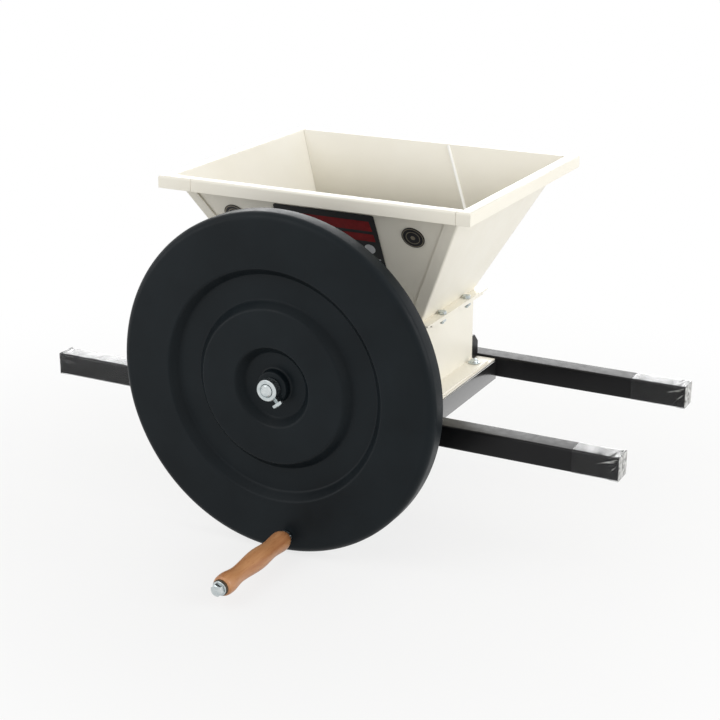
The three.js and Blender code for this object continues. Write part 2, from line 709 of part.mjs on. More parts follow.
// Blades: stainless strips with saw teeth, each stepped by half a pitch from the one before it
function bladeGeometry(shift) {
  const outline = new THREE.Shape();
  outline.moveTo(drumRadius - bladeDepth, drumY[0]);
  outline.lineTo(drumRadius, drumY[0]);
  for (let i = 0; i < toothCount; i += 1) {
    const y = toothY(i) + shift;
    outline.lineTo(drumRadius, y - toothPitch / 2 + toothFlat);
    outline.lineTo(bladeTipRadius, y + toothLean);
    outline.lineTo(drumRadius, y + toothPitch / 2 - toothFlat);
  }
  outline.lineTo(drumRadius, drumY[1]);
  outline.lineTo(drumRadius - bladeDepth, drumY[1]);
  const geometry = new THREE.ExtrudeGeometry(outline, { depth: bladeThickness, bevelEnabled: false });
  geometry.translate(0, 0, -bladeThickness / 2);
  return geometry;
}

bladeAngles.forEach((angle, i) => {
  const geometry = bladeGeometry(i % 2 ? bladeStagger : -bladeStagger);
  geometry.rotateY(angle);
  geometry.translate(0, 0, axisHeight);
  addPiece(`drum_blade_${i + 1}`, asSolid(geometry), stainless, rotor);
});

// Flywheel: a moulding with a stepped web, rounded rim, hub and ribs at the back

const wheelBack = wheelFront + wheelThickness;

// The web's stepped line from the hub to the rim, set back by depth
function webLine(depth) {
  const lean = depth / 2;
  return [
    [hubRadius, wheelFront + stepDepth + depth],
    [dishOuter - stepRun + lean, wheelFront + stepDepth + depth],
    [dishOuter + lean, wheelFront + depth],
    [grooveInner - stepRun / 2 - lean, wheelFront + depth],
    [grooveInner + stepRun / 2 - lean, wheelFront + stepDepth + depth],
    [grooveOuter - stepRun + lean, wheelFront + stepDepth + depth],
    [grooveOuter + lean, wheelFront + depth],
  ];
}

// Rounds each corner of an open line of points by a short curve
function softened(points, reach, divisions) {
  const path = new THREE.Path();
  path.moveTo(...points[0]);
  for (let i = 1; i < points.length - 1; i += 1) {
    const [before, corner, after] = points.slice(i - 1, i + 2).map((p) => new THREE.Vector2(...p));
    const short = Math.min(reach, before.distanceTo(corner) / 2.2, after.distanceTo(corner) / 2.2);
    const enter = corner.clone().add(before.clone().sub(corner).setLength(short));
    const leave = corner.clone().add(after.clone().sub(corner).setLength(short));
    path.lineTo(enter.x, enter.y);
    path.quadraticCurveTo(corner.x, corner.y, leave.x, leave.y);
  }
  path.lineTo(...points[points.length - 1]);
  return path.getPoints(divisions).map((p) => [p.x, p.y]);
}

const hubBore = shaftRadius + fitGap;
const rimInner = wheelRadius - rimWall;
const frontFace = softened([[hubBore, wheelFront], [hubRadius, wheelFront], ...webLine(0),
  [wheelRadius - rimRound, wheelFront]], webCornerReach, 1);
const rimCurve = new THREE.Path();
rimCurve.absarc(wheelRadius - rimRound, wheelFront + rimRound, rimRound, -Math.PI / 2, 0);
const rimFace = rimCurve.getPoints(4).slice(1).map((p) => [p.x, p.y]);
const rimBack = [[wheelRadius, wheelBack - rimBackChamfer], [wheelRadius - rimBackChamfer, wheelBack],
  [rimInner, wheelBack]];
const backFace = [...webLine(wheelWall), [rimInner, wheelFront + wheelWall]].reverse();
const hubBack = [[hubRadius, wheelBack], [hubBore, wheelBack], [hubBore, wheelFront]];
const wheelProfile = [...frontFace, ...rimFace, ...rimBack, ...backFace, ...hubBack];
const wheelBody = turned(wheelProfile, 0, axisHeight, wheelFacets);

// The ribs fill the space between the web and a plane a little inside the rim's back edge
const ribBack = wheelBack - ribSetback;
const ribFoot = hubRadius - 2 * overcut;
const ribHead = rimInner + 2 * overcut;
const behindWeb = turned([[ribFoot, ribBack], ...webLine(wheelWall / 2),
  [ribHead, wheelFront + wheelWall / 2], [ribHead, ribBack], [ribFoot, ribBack]], 0, axisHeight, wheelFacets);
const ribs = Array.from({ length: ribCount }, (_, i) => radialBox(ribThickness, hubRadius - overcut,
  rimInner + overcut, wheelFront, wheelBack, (2 * Math.PI * (i + 0.5)) / ribCount).intersect(behindWeb));
const crankHole = barY(crankBoltRadius + fitGap, wheelFront - overcut, wheelBack + overcut, crankX, crankZ);
addPiece('flywheel', cut(union(wheelBody, ...ribs), crankHole), blackPlastic, rotor);

// Sleeve between the front bearing and the flywheel's hub
const tubeY = (outer, y0, y1, x, z, bore, sides = 20) => cut(barY(outer, y0, y1, x, z, sides),
  barY(bore, y0 - overcut, y1 + overcut, x, z, sides));
const sleeveY = [wheelBack + fitGap, bearingEnds.front.faceY - bearingBossLength - fitGap];
addPiece('spacer_sleeve', tubeY(shaftRadius + sleeveWall, ...sleeveY, 0, axisHeight, hubBore), zinc, rotor);

// Clamp collars on both ends of the shaft; the front one has a screw with a hexagon head
const collarY = [wheelFront - fitGap - collarLength, wheelFront - fitGap];
const screwTip = shaftRadius + fitGap;
const screwHeadFrom = collarRadius + clampScrewReach;

function radialBar(radius, r0, r1, y, angle, sides) {
  const geometry = new THREE.CylinderGeometry(radius, radius, r1 - r0, sides);
  geometry.rotateZ(Math.PI / 2);
  geometry.translate((r0 + r1) / 2, 0, 0);
  geometry.rotateY(-radians(angle));
  geometry.translate(0, y, axisHeight);
  return asSolid(geometry);
}

const collarMid = (collarY[0] + collarY[1]) / 2;
const screwHole = radialBar(clampScrewRadius + fitGap, shaftRadius, collarRadius + overcut, collarMid,
  clampScrewAngle, 12);
const collarRing = tubeY(collarRadius, ...collarY, 0, axisHeight, hubBore, 28);
addPiece('shaft_collar', cut(collarRing, screwHole), zinc, rotor);
const screwShank = radialBar(clampScrewRadius, screwTip, screwHeadFrom + hexHeight.M6 / 2, collarMid,
  clampScrewAngle, 12);
const screwHeadEnd = screwHeadFrom + hexHeight.M6;
const screwHead = radialBar(hexFlats.M8 / Math.sqrt(3), screwHeadFrom, screwHeadEnd, collarMid,
  clampScrewAngle, 6);
addPiece('clamp_screw', union(screwShank, screwHead), zinc, rotor);
const rearCollarFrom = bearingEnds.rear.faceY + bearingBossLength + fitGap;
const rearCollarY = [rearCollarFrom, rearCollarFrom + endCollarLength];
addPiece('rear_collar', tubeY(collarRadius, ...rearCollarY, 0, axisHeight, hubBore, 28), zinc, rotor);

// Crank bolt with its nuts on both faces of the rim, and the washer under its head
const nutHole = crankBoltRadius + fitGap;
const outerNutY = [wheelFront - fitGap - hexHeight.M10, wheelFront - fitGap];
const webBack = wheelFront + wheelWall;
const innerNutY = [webBack + fitGap, webBack + fitGap + hexHeight.M10];
const gripBack = outerNutY[0] - fitGap;
const gripFront = gripBack - gripLength;
const washerBack = gripFront - fitGap;
const spacerFront = washerBack - gripSpacerThickness;
const washerFront = spacerFront - gripWasherThickness;
const headBack = washerFront - fitGap;
const nutAt = (y0, y1) => cut(hexY(hexFlats.M10, y0, y1, crankX, crankZ),
  barY(nutHole, y0 - overcut, y1 + overcut, crankX, crankZ));
addPiece('crank_nut', nutAt(...outerNutY), zinc, rotor);
addPiece('crank_lock_nut', nutAt(...innerNutY), zinc, rotor);
const gripSpacer = barY(gripSpacerRadius, spacerFront, washerBack, crankX, crankZ, 20);
const gripWasher = barY(gripWasherRadius, washerFront, spacerFront + overcut, crankX, crankZ, 20);
const washerHole = barY(nutHole, washerFront - overcut, washerBack + overcut, crankX, crankZ, 20);
addPiece('grip_washer', cut(union(gripSpacer, gripWasher), washerHole), zinc, rotor);
const crankHead = hexY(hexFlats.M10, headBack - hexHeight.M10, headBack, crankX, crankZ);
const crankShankY = [headBack - hexHeight.M10 / 2, innerNutY[1] + shankTail];
const crankShank = barY(crankBoltRadius, ...crankShankY, crankX, crankZ);
addPiece('crank_bolt', union(crankHead, crankShank), zinc, rotor);

// Grip: turned wood, waisted behind both ends, free to spin on the crank bolt
const along = (share) => gripBack - share * gripLength;
const gripCurve = new THREE.SplineCurve([
  [gripRootRadius - 3, 0], [gripRootRadius, 0.07], [gripNeckRadius + 0.9, 0.24], [gripBellyRadius, 0.46],
  [gripNeckRadius, 0.74], [gripEndRadius, 0.92], [gripEndRadius - 2.5, 1],
].map(([r, share]) => new THREE.Vector2(r, along(share))));
const gripProfile = gripCurve.getPoints(16).map((p) => [p.x, p.y]);
addPiece('grip', turned([[nutHole, gripBack], ...gripProfile, [nutHole, gripFront], [nutHole, gripBack]],
  crankX, crankZ, 20), turnedWood);

export default object;
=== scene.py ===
# %% [markdown]
# An apple scratter, piece by piece
#
# A scratter is a fruit mill: apples slide down a folded hopper onto a toothed drum, and a heavy
# flywheel with a wooden grip turns it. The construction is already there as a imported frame, with
# every solid at its real place. Each cell below dresses one piece or mixes one finish. New pieces
# are surfaces worked out with numpy, because a formula says plainly what the shape is and a size
# that changes in the frame changes the piece with it.

# %% Load the frame
import json
import math

import bmesh
import bpy
import numpy as np
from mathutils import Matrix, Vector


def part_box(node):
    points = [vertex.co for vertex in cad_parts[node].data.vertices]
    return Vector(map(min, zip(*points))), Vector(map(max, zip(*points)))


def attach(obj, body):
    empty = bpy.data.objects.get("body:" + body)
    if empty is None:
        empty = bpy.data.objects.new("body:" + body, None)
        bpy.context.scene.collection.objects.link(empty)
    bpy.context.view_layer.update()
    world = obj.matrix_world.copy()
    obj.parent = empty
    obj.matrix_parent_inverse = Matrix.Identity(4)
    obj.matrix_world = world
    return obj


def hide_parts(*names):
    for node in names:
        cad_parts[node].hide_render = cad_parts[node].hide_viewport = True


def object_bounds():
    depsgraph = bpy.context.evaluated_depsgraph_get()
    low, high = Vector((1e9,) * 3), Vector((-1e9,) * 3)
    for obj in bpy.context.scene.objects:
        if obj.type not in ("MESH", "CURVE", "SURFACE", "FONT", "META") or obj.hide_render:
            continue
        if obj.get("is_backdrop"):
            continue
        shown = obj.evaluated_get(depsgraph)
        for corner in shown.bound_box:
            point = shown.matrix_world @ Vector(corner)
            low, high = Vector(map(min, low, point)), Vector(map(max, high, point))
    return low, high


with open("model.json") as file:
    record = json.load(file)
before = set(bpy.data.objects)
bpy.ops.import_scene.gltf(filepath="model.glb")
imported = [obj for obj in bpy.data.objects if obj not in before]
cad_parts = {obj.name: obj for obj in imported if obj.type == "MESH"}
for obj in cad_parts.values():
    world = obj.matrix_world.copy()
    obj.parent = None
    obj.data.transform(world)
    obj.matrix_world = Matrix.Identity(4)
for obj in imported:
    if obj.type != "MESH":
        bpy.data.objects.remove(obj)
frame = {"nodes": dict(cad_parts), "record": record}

scene = bpy.context.scene
cad_low, cad_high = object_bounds()

# %% [markdown]
# Camera
#
# The photograph was taken from the right of the flywheel and a little above, with a long lens.
# The numbers come from fitting the straight edges of the rails and of the hopper's rim. A camera
# could also track an empty, but two angles and a place are easier to check against the picture.

# %% Set the camera
lens_mm = 79.0
camera_place = (0.9516, -1.7123, 0.7735)
look_down = math.radians(19.41)
look_left = math.radians(27.53)

camera = bpy.data.objects.new("camera", bpy.data.cameras.new("camera"))
scene.collection.objects.link(camera)
camera.data.lens = lens_mm
camera.location = camera_place
camera.rotation_euler = (math.pi / 2 - look_down, 0, look_left)
camera.data.clip_end = 50
scene.camera = camera
print("camera at", camera_place)

# %% [markdown]
# Background and light
#
# The mill is shown on white. The world is plain white for the eye and for mirrors, and dimmer for
# matt surfaces, so pale paint keeps its colour. A lamp low behind and to the left is what the
# tops of the black rails mirror, one on the right lights the hopper's sides, and a soft one in
# front keeps the black wheel readable, with a low one beside it for a sheen on the wheel's left.
# One big lamp overhead would be simpler, but it would leave the rails as flat black shapes.

# %% Light the studio
background_light = 0.72
lamps = {
    "back_left": ((-1.0, 2.3, 0.95), (2.8, 1.2), 31.0),
    "right": ((2.5, 0.1, 1.1), (1.6, 1.6), 26.0),
    "front_left": ((-1.4, -2.1, 2.1), (1.8, 1.8), 18.0),
    "low_left": ((-2.2, -1.9, 0.25), (0.9, 0.6), 8.0),
}
lamp_target = np.array([0.0, 0.12, 0.1])


def seen_or_mirrored(nodes, links):
    """A number that is 1 on rays from the camera and on mirrored and transmitted ones, 0 on the rest."""
    path = nodes.new("ShaderNodeLightPath")
    value = path.outputs["Is Camera Ray"]
    for ray in ("Is Glossy Ray", "Is Transmission Ray"):
        larger = nodes.new("ShaderNodeMath")
        larger.operation = "MAXIMUM"
        links.new(value, larger.inputs[0])
        links.new(path.outputs[ray], larger.inputs[1])
        value = larger.outputs[0]
    return value


def plain_world(strength):
    """A world that is white to look at and in mirrors, and lights matt surfaces by a strength of its own."""
    world = bpy.data.worlds.new("studio")
    world.use_nodes = True
    nodes, links = world.node_tree.nodes, world.node_tree.links
    level = nodes.new("ShaderNodeMapRange")
    level.inputs["To Min"].default_value = strength
    level.inputs["To Max"].default_value = 1.0
    links.new(seen_or_mirrored(nodes, links), level.inputs["Value"])
    background = nodes["Background"]
    background.inputs["Color"].default_value = (1, 1, 1, 1)
    links.new(level.outputs["Result"], background.inputs["Strength"])
    return world


def area_lamp(name, place, size, power):
    """A rectangular lamp at a place, turned so that its -Z axis points at the mill."""
    lamp = bpy.data.objects.new(name, bpy.data.lights.new(name, "AREA"))
    lamp.data.shape = "RECTANGLE"
    lamp.data.size, lamp.data.size_y = size
    lamp.data.energy = power
    lamp.location = place
    x, y, z = lamp_target - np.array(place)
    lamp.rotation_euler = (math.atan2(math.hypot(x, y), -z), 0.0, math.atan2(-x, y))
    scene.collection.objects.link(lamp)


scene.world = plain_world(background_light)
for name, (place, size, power) in lamps.items():
    area_lamp(name, place, size, power)
scene.view_settings.view_transform = "Standard"
print("a white world and", len(lamps), "lamps")

# %% [markdown]
# Helpers for surfaces
#
# A piece here is a grid of points: rows run one way and columns the other, and either way can
# close on itself. A turned part is a profile repeated round an axis, and a drawn or folded part is
# an outline carried from station to station. Both give the same kind of grid, so one function
# makes the faces for all. Blender's own Spin and Screw tools could do it, but a grid of formulas
# stays exact and is quick to change.

# %% Grids, lofts and turned parts


def grid_quads(rows, cols, wrap_rows=False, wrap_cols=True):
    """Quads of a grid whose point (i, j) has the number i * cols + j. A wrapped way meets its start again."""
    i = np.arange(rows if wrap_rows else rows - 1)[:, None]
    j = np.arange(cols if wrap_cols else cols - 1)[None, :]
    down, right = (i + 1) % rows, (j + 1) % cols
    return np.stack([i * cols + j, i * cols + right, down * cols + right, down * cols + j], -1).reshape(-1, 4)


def loft(rings):
    """A skin from ring to ring of closed outlines, with a flat cap on the first and on the last."""
    rings = np.asarray(rings, float)
    rows, cols = rings.shape[:2]
    caps = [np.arange(cols), np.arange(cols) + (rows - 1) * cols]
    return rings.reshape(-1, 3), grid_quads(rows, cols), caps


def hollow_loft(outer, inner):
    """A tube wall: out along the outer rings and back along the inner ones, closed on itself."""
    rings = np.concatenate([np.asarray(outer, float), np.asarray(inner, float)[::-1]])
    rows, cols = rings.shape[:2]
    return rings.reshape(-1, 3), grid_quads(rows, cols, wrap_rows=True), []


def turned(profile, x, z, segments=96):
    """Turns a closed profile of (radius, y) about an axis along Y through (x, z):
    the point at angle a is (x + r cos a, y, z + r sin a)."""
    r, y = np.asarray(profile, float).T
    a = np.linspace(0, 2 * math.pi, segments, endpoint=False)[:, None]
    points = np.stack([x + r * np.cos(a), y + 0 * a, z + r * np.sin(a)], -1)
    return points.reshape(-1, 3), grid_quads(segments, len(r), wrap_rows=True), []


def joined(*parts):
    """One part made of several, each given as its points, its quads and its caps."""
    starts = np.cumsum([0] + [len(points) for points, _, _ in parts])
    points = np.concatenate([points for points, _, _ in parts])
    quads = np.concatenate([quads + start for (_, quads, _), start in zip(parts, starts)])
    caps = [ring + start for (_, _, rings), start in zip(parts, starts) for ring in rings]
    return points, quads, caps


def placed(part, origin, along, start=(1.0, 0.0, 0.0)):
    """Stands a part drawn along +Z at an origin, with its own Z along a direction and X near start."""
    w = np.asarray(along, float) / np.linalg.norm(along)
    u = np.asarray(start, float) - np.dot(start, w) * w
    u /= np.linalg.norm(u)
    basis = np.stack([u, np.cross(w, u), w])
    points, quads, caps = part
    return points @ basis + np.asarray(origin, float), quads, caps


print("a skin of 3 rings of 4 points has", len(grid_quads(3, 4)), "quads between its caps")

# %% [markdown]
# Lines with round bends
#
# Sheet metal never has a sharp bend: the press brake leaves a small radius. A line of corners is
# rounded first, and the sheet's thickness is then set off to one side of it, so the inner and the
# outer radius differ by one thickness as they do on real sheet.

# %% Bends and thickness


def rounded_line(corners, radius, steps=6):
    """Rounds each inner corner of a flat line by an arc of the given radius. An arc starts and ends
    radius * tan(turn / 2) from its corner, and its centre lies on the turn's bisector."""
    corners = np.asarray(corners, float)
    line = [corners[:1]]
    for before, corner, after in zip(corners, corners[1:], corners[2:]):
        enter = (corner - before) / np.linalg.norm(corner - before)
        leave = (after - corner) / np.linalg.norm(after - corner)
        cross = enter[0] * leave[1] - enter[1] * leave[0]
        turn = math.atan2(cross, enter @ leave)
        reach = radius * math.tan(abs(turn) / 2)
        side = math.copysign(1, turn)
        centre = corner - reach * enter + side * radius * np.array([-enter[1], enter[0]])
        t = np.linspace(0, turn, steps + 1)[:, None]
        out = (corner - reach * enter) - centre
        spun = np.hstack([out[0] * np.cos(t) - out[1] * np.sin(t), out[0] * np.sin(t) + out[1] * np.cos(t)])
        line.append(centre + spun)
    line.append(corners[-1:])
    return np.concatenate(line)


def set_off(line, distance):
    """Moves a line sideways, to its left, by a distance along the normals of its points."""
    step = np.diff(line, axis=0)
    step /= np.linalg.norm(step, axis=1, keepdims=True)
    tangent = np.vstack([step[:1], step[:-1] + step[1:], step[-1:]])
    tangent /= np.linalg.norm(tangent, axis=1, keepdims=True)
    share = np.ones(len(line))
    share[1:-1] = 1 / np.sqrt((1 + (step[:-1] * step[1:]).sum(1)) / 2)
    return line + distance * share[:, None] * np.column_stack([-tangent[:, 1], tangent[:, 0]])


def strip(line, thickness):
    """The closed outline of a sheet: the line, and the same line set off, walked back."""
    return np.vstack([line, set_off(line, thickness)[::-1]])


def rounded_rectangle(half_w, half_h, radius, steps=8):
    """A closed outline: four quarter circles whose centres stand one radius inside the corners."""
    a = np.linspace(0, math.pi / 2, steps + 1)
    quarters = []
    for k, (sw, sh) in enumerate([(1, 1), (-1, 1), (-1, -1), (1, -1)]):
        centre = np.array([sw * (half_w - radius), sh * (half_h - radius)])
        angle = a + k * math.pi / 2
        quarters.append(centre + radius * np.column_stack([np.cos(angle), np.sin(angle)]))
    return np.concatenate(quarters)


print("a right angle with a round bend has", len(rounded_line([(0, 0), (1, 0), (1, 1)], 0.1)), "points")

# %% [markdown]
# From arrays to a piece
#
# The arrays go into a mesh in one call. Points that coincide, as at a pole, are merged, and the
# normals are made to face outwards. Edges that bend more than about thirty degrees stay sharp.
# The object stays at the origin, and it rides on a body.

# %% Make a piece
sharp_bend = 32
print("edges that bend by more than", sharp_bend, "degrees stay sharp")


def piece(name, part, material, body, replaces=(), sharp=sharp_bend):
    """A finished object from a part: mesh, finish, the body that it rides on and what it stands for."""
    points, quads, caps = part
    mesh = bpy.data.meshes.new(name)
    mesh.from_pydata(points.tolist(), [], quads.tolist() + [ring.tolist() for ring in caps])
    shell = bmesh.new()
    shell.from_mesh(mesh)
    bmesh.ops.remove_doubles(shell, verts=shell.verts, dist=1e-7)
    bmesh.ops.recalc_face_normals(shell, faces=shell.faces)
    shell.to_mesh(mesh)
    shell.free()
    mesh.polygons.foreach_set("use_smooth", np.ones(len(mesh.polygons), bool))
    mesh.set_sharp_from_angle(angle=math.radians(sharp))
    mesh.materials.append(material)
    made = bpy.data.objects.new(name, mesh)
    scene.collection.objects.link(made)
    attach(made, body)
    if replaces:
        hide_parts(*replaces)
    print(f"{name}: {len(mesh.polygons)} faces on {body}")


# %% [markdown]
# Mixing a finish
#
# Every finish is a Principled shader with patterns on Object coordinates, so the pattern is as
# large on the piece as it is on the bench. Colour, roughness and bump each get their own pattern.
# An image would be quicker to set up, but it would need a layout for every mesh.

# %% The finish mixer


def linear(red, green, blue):
    """The linear colour of one given from 0 to 255: c / 12.92 near black, and
    ((c + 0.055) / 1.055) ^ 2.4 above."""
    c = np.array([red, green, blue]) / 255
    return (*np.where(c <= 0.04045, c / 12.92, ((c + 0.055) / 1.055) ** 2.4).tolist(), 1.0)


class Finish:
    """A Principled material and the patterns that drive its sockets."""

    def __init__(self, name, **sockets):
        self.material = bpy.data.materials.new(name)
        self.material.use_nodes = True
        self.nodes, self.links = self.material.node_tree.nodes, self.material.node_tree.links
        self.shader = self.nodes["Principled BSDF"]
        self.coordinates = self.nodes.new("ShaderNodeTexCoord").outputs["Object"]
        for socket, value in sockets.items():
            self.shader.inputs[socket.replace("_", " ")].default_value = value
        print("mixing", name)

    def noise(self, scale, detail, stretch=(1, 1, 1)):
        """Noise of so many cells in a metre, drawn out along the axes whose stretch is small."""
        mapping = self.nodes.new("ShaderNodeMapping")
        mapping.inputs["Scale"].default_value = stretch
        self.links.new(self.coordinates, mapping.inputs["Vector"])
        texture = self.nodes.new("ShaderNodeTexNoise")
        texture.inputs["Scale"].default_value = scale
        texture.inputs["Detail"].default_value = detail
        self.links.new(mapping.outputs["Vector"], texture.inputs["Vector"])
        return texture.outputs["Fac"]

    def between(self, pattern, low, high, start=0.3, end=0.7):
        """Lets a pattern's middle range run from one value to another."""
        spread = self.nodes.new("ShaderNodeMapRange")
        for socket, value in (("From Min", start), ("From Max", end), ("To Min", low), ("To Max", high)):
            spread.inputs[socket].default_value = value
        self.links.new(pattern, spread.inputs["Value"])
        return spread.outputs["Result"]

    def blend(self, first, second, share):
        """Two patterns as one: first + share * (second - first)."""
        mix = self.nodes.new("ShaderNodeMix")
        mix.inputs["Factor"].default_value = share
        self.links.new(first, mix.inputs["A"])
        self.links.new(second, mix.inputs["B"])
        return mix.outputs["Result"]

    def colours(self, pattern, *stops):
        """Colours along a pattern: each stop is a place from 0 to 1 and a colour."""
        ramp = self.nodes.new("ShaderNodeValToRGB")
        while len(ramp.color_ramp.elements) < len(stops):
            ramp.color_ramp.elements.new(0.5)
        for element, (position, colour) in zip(ramp.color_ramp.elements, stops):
            element.position, element.color = position, colour
        self.links.new(pattern, ramp.inputs["Fac"])
        self.links.new(ramp.outputs["Color"], self.shader.inputs["Base Color"])

    def clouded(self, scale, detail, dark, light):
        """A base colour that drifts between two tones, each given from 0 to 255, in soft clouds."""
        self.colours(self.noise(scale, detail), (0.3, linear(*dark)), (0.7, linear(*light)))

    def drive(self, socket, value):
        """Links a pattern's value to one of the shader's sockets."""
        self.links.new(value, self.shader.inputs[socket])

    def relief(self, pattern, depth):
        """Bump of a given depth in metres, laid over the relief that is already there."""
        bump = self.nodes.new("ShaderNodeBump")
        bump.inputs["Distance"].default_value = depth
        bump.inputs["Strength"].default_value = 1.0
        self.links.new(pattern, bump.inputs["Height"])
        before = self.shader.inputs["Normal"].links
        if before:
            self.links.new(before[0].from_socket, bump.inputs["Normal"])
        self.links.new(bump.outputs["Normal"], self.shader.inputs["Normal"])


print("a grey of 128 is", round(linear(128, 128, 128)[0], 3), "in linear light")

# %% [markdown]
# Cream paint
#
# The hopper, the mill box and the base plate are sheet steel with a warm white stoved paint. It
# has a faint orange peel, the sheet under it is not quite flat, and the gloss changes a little
# from place to place. The colour stays nearly even, because the machine is new. One flat colour
# would be simpler, but a soft light on it would look like plastic.

# %% Mix the cream paint
cream = Finish("cream_paint", Roughness=0.36, IOR=1.5, Specular_IOR_Level=0.45)
cream.clouded(7, 4, (238, 233, 219), (243, 239, 227))
cream.drive("Roughness", cream.between(cream.noise(60, 4), 0.30, 0.42))
cream.relief(cream.noise(9, 2), 0.0012)
cream.relief(cream.noise(900, 2), 0.00003)

# %% [markdown]
# Black paint and black plastic
#
# The rails have a semi-gloss black paint, smooth enough to mirror a bright sky along their tops.
# The cross members are glossier, and the photograph shows them grey with what they mirror. The
# flywheel is moulded in a matt blue-black plastic with a fine grain and a faint bloom, and the
# rail plugs in a greyer one. One black for all would be simpler, but each of them mirrors the
# studio in its own way.

# %% Mix the blacks
rail_black = Finish("rail_black", Roughness=0.34, IOR=1.5, Specular_IOR_Level=0.25)
rail_black.clouded(30, 5, (9, 9, 11), (15, 15, 17))
rail_black.drive("Roughness", rail_black.between(rail_black.noise(120, 5), 0.33, 0.43))
rail_black.relief(rail_black.noise(1100, 2), 0.00003)
rail_black.relief(rail_black.noise(16, 2, (0.25, 1, 1)), 0.00014)

wheel_black = Finish("wheel_black", Roughness=0.42, IOR=1.47, Specular_IOR_Level=0.16)
wheel_black.clouded(11, 5, (10, 17, 21), (19, 26, 30))
wheel_black.drive("Roughness", wheel_black.between(wheel_black.noise(45, 6), 0.36, 0.48))
wheel_black.relief(wheel_black.noise(1500, 3), 0.00006)
wheel_black.relief(wheel_black.noise(13, 2), 0.0008)

angle_black = Finish("angle_black", Roughness=0.3, IOR=1.6, Specular_IOR_Level=0.7,
                     Coat_Weight=1.0, Coat_IOR=1.9, Coat_Roughness=0.16)
angle_black.clouded(30, 5, (16, 16, 17), (26, 26, 27))
angle_black.relief(angle_black.noise(14, 2, (1, 0.3, 1)), 0.0003)

plug_black = Finish("plug_black", Roughness=0.5, IOR=1.47)
plug_black.clouded(60, 4, (24, 25, 27), (34, 35, 37))
plug_black.relief(plug_black.noise(1200, 2), 0.00008)

# %% [markdown]
# Metals
#
# Bolts, collars and the shaft are zinc plated: bright, faintly clouded, with small crystals in
# the gloss. The blades are brushed stainless, with streaks along the blade: noise drawn out one
# way gives them, where a wave pattern would be too even. The bearings and the counter blocks are
# castings, so their skin is rough and their colour duller. The drum's nylon has fine tool marks.

# %% Mix the metals
zinc = Finish("zinc_plate", Metallic=1.0, Roughness=0.28)
zinc.clouded(140, 4, (184, 193, 195), (212, 217, 217))
zinc.drive("Roughness", zinc.between(zinc.noise(420, 5), 0.2, 0.4))
zinc.relief(zinc.noise(1800, 2), 0.00002)

stainless = Finish("stainless", Metallic=1.0, Roughness=0.3)
stainless.clouded(90, 4, (188, 190, 192), (208, 209, 210))
stainless.drive("Roughness", stainless.between(stainless.noise(500, 4, (1, 0.04, 1)), 0.22, 0.42))
stainless.relief(stainless.noise(1600, 3, (1, 0.03, 1)), 0.00003)

casting = Finish("casting", Metallic=0.65, Roughness=0.58)
casting.clouded(50, 5, (92, 95, 99), (116, 118, 121))
casting.relief(casting.noise(420, 5), 0.0003)

# A dark olive-brown metal for the wider washer under the crank bolt's head.
dark_olive_washer = Finish("dark_washer", Metallic=0.5, Roughness=0.5)
dark_olive_washer.clouded(300, 4, (58, 50, 40), (84, 74, 58))
dark_olive_washer.relief(dark_olive_washer.noise(900, 3), 0.00005)

nylon = Finish("white_nylon", Roughness=0.45, IOR=1.5, Subsurface_Weight=0.06)
nylon.clouded(40, 4, (226, 224, 215), (235, 233, 225))
nylon.relief(nylon.noise(900, 2), 0.00003)
nylon.relief(nylon.noise(700, 2, (0.02, 1, 0.02)), 0.00006)

# %% [markdown]
# Turned wood
#
# The grip is beech, turned with the grain along its length and varnished. Long soft streaks give
# the figure, short dark dashes are the rays that mark beech, and the varnish fills most of the
# pores, so the relief is slight. Rings round a pith would show the end grain too, but here the
# washer covers it.

# %% Mix the wood
along_grain = (1, 0.06, 1)
beech = Finish("turned_beech", Roughness=0.42, IOR=1.48, Coat_Weight=0.25, Coat_Roughness=0.3)
figure = beech.noise(95, 6, along_grain)
dashes = beech.between(beech.noise(760, 2, (1, 0.13, 1)), 0.0, 1.0, 0.28, 0.46)
grain = beech.blend(figure, dashes, 0.12)
beech.colours(grain, (0.3, linear(158, 99, 57)), (0.56, linear(186, 130, 85)), (0.8, linear(206, 155, 109)))
beech.drive("Roughness", beech.between(beech.noise(260, 4, along_grain), 0.36, 0.52))
beech.relief(beech.noise(620, 4, (1, 0.05, 1)), 0.00012)

# %% [markdown]
# Print and film
#
# The label and the badges are printed plates. Packing film is wound round the rails' ends: it is
# clear where the eye meets it square, and mirrors the sky where the light grazes it. Transmission
# through a thin closed skin gives that by itself. Where layers are folded on each other, more
# light is scattered, so the folded ends get a milkier mix.

# %% Mix the print colours and the film
label_black = Finish("label_black", Roughness=0.4, Specular_IOR_Level=0.3)
label_black.clouded(80, 3, (20, 20, 23), (27, 27, 30))
label_black.relief(label_black.noise(700, 2), 0.00002)

print_red = Finish("print_red", Roughness=0.42, Specular_IOR_Level=0.2)
print_red.clouded(120, 4, (112, 10, 15), (134, 15, 20))
print_pale = Finish("print_pale", Roughness=0.32)
print_pale.clouded(120, 4, (178, 180, 184), (196, 198, 201))
print_bronze = Finish("print_bronze", Roughness=0.35, Metallic=0.4)
print_bronze.clouded(120, 4, (120, 112, 96), (150, 141, 122))

film = Finish("packing_film", Roughness=0.16, IOR=1.22, Transmission_Weight=1.0)
film.clouded(80, 3, (246, 247, 247), (253, 253, 253))
film.drive("Roughness", film.between(film.noise(60, 3), 0.10, 0.24))
film.relief(film.noise(34, 2, (0.4, 1, 1)), 0.00012)

folded_film = Finish("folded_film", Roughness=0.2, IOR=1.4, Transmission_Weight=0.35)
folded_film.colours(folded_film.noise(160, 3), (0.32, linear(120, 120, 117)), (0.62, linear(232, 232, 229)))
folded_film.relief(folded_film.noise(150, 3), 0.0008)

# %% [markdown]
# Dress the solids that stay
#
# Flat folded plates and plain castings need no new mesh: their solids are right as they are, and
# only get their finish. The slot names of the record say which finish is whose.

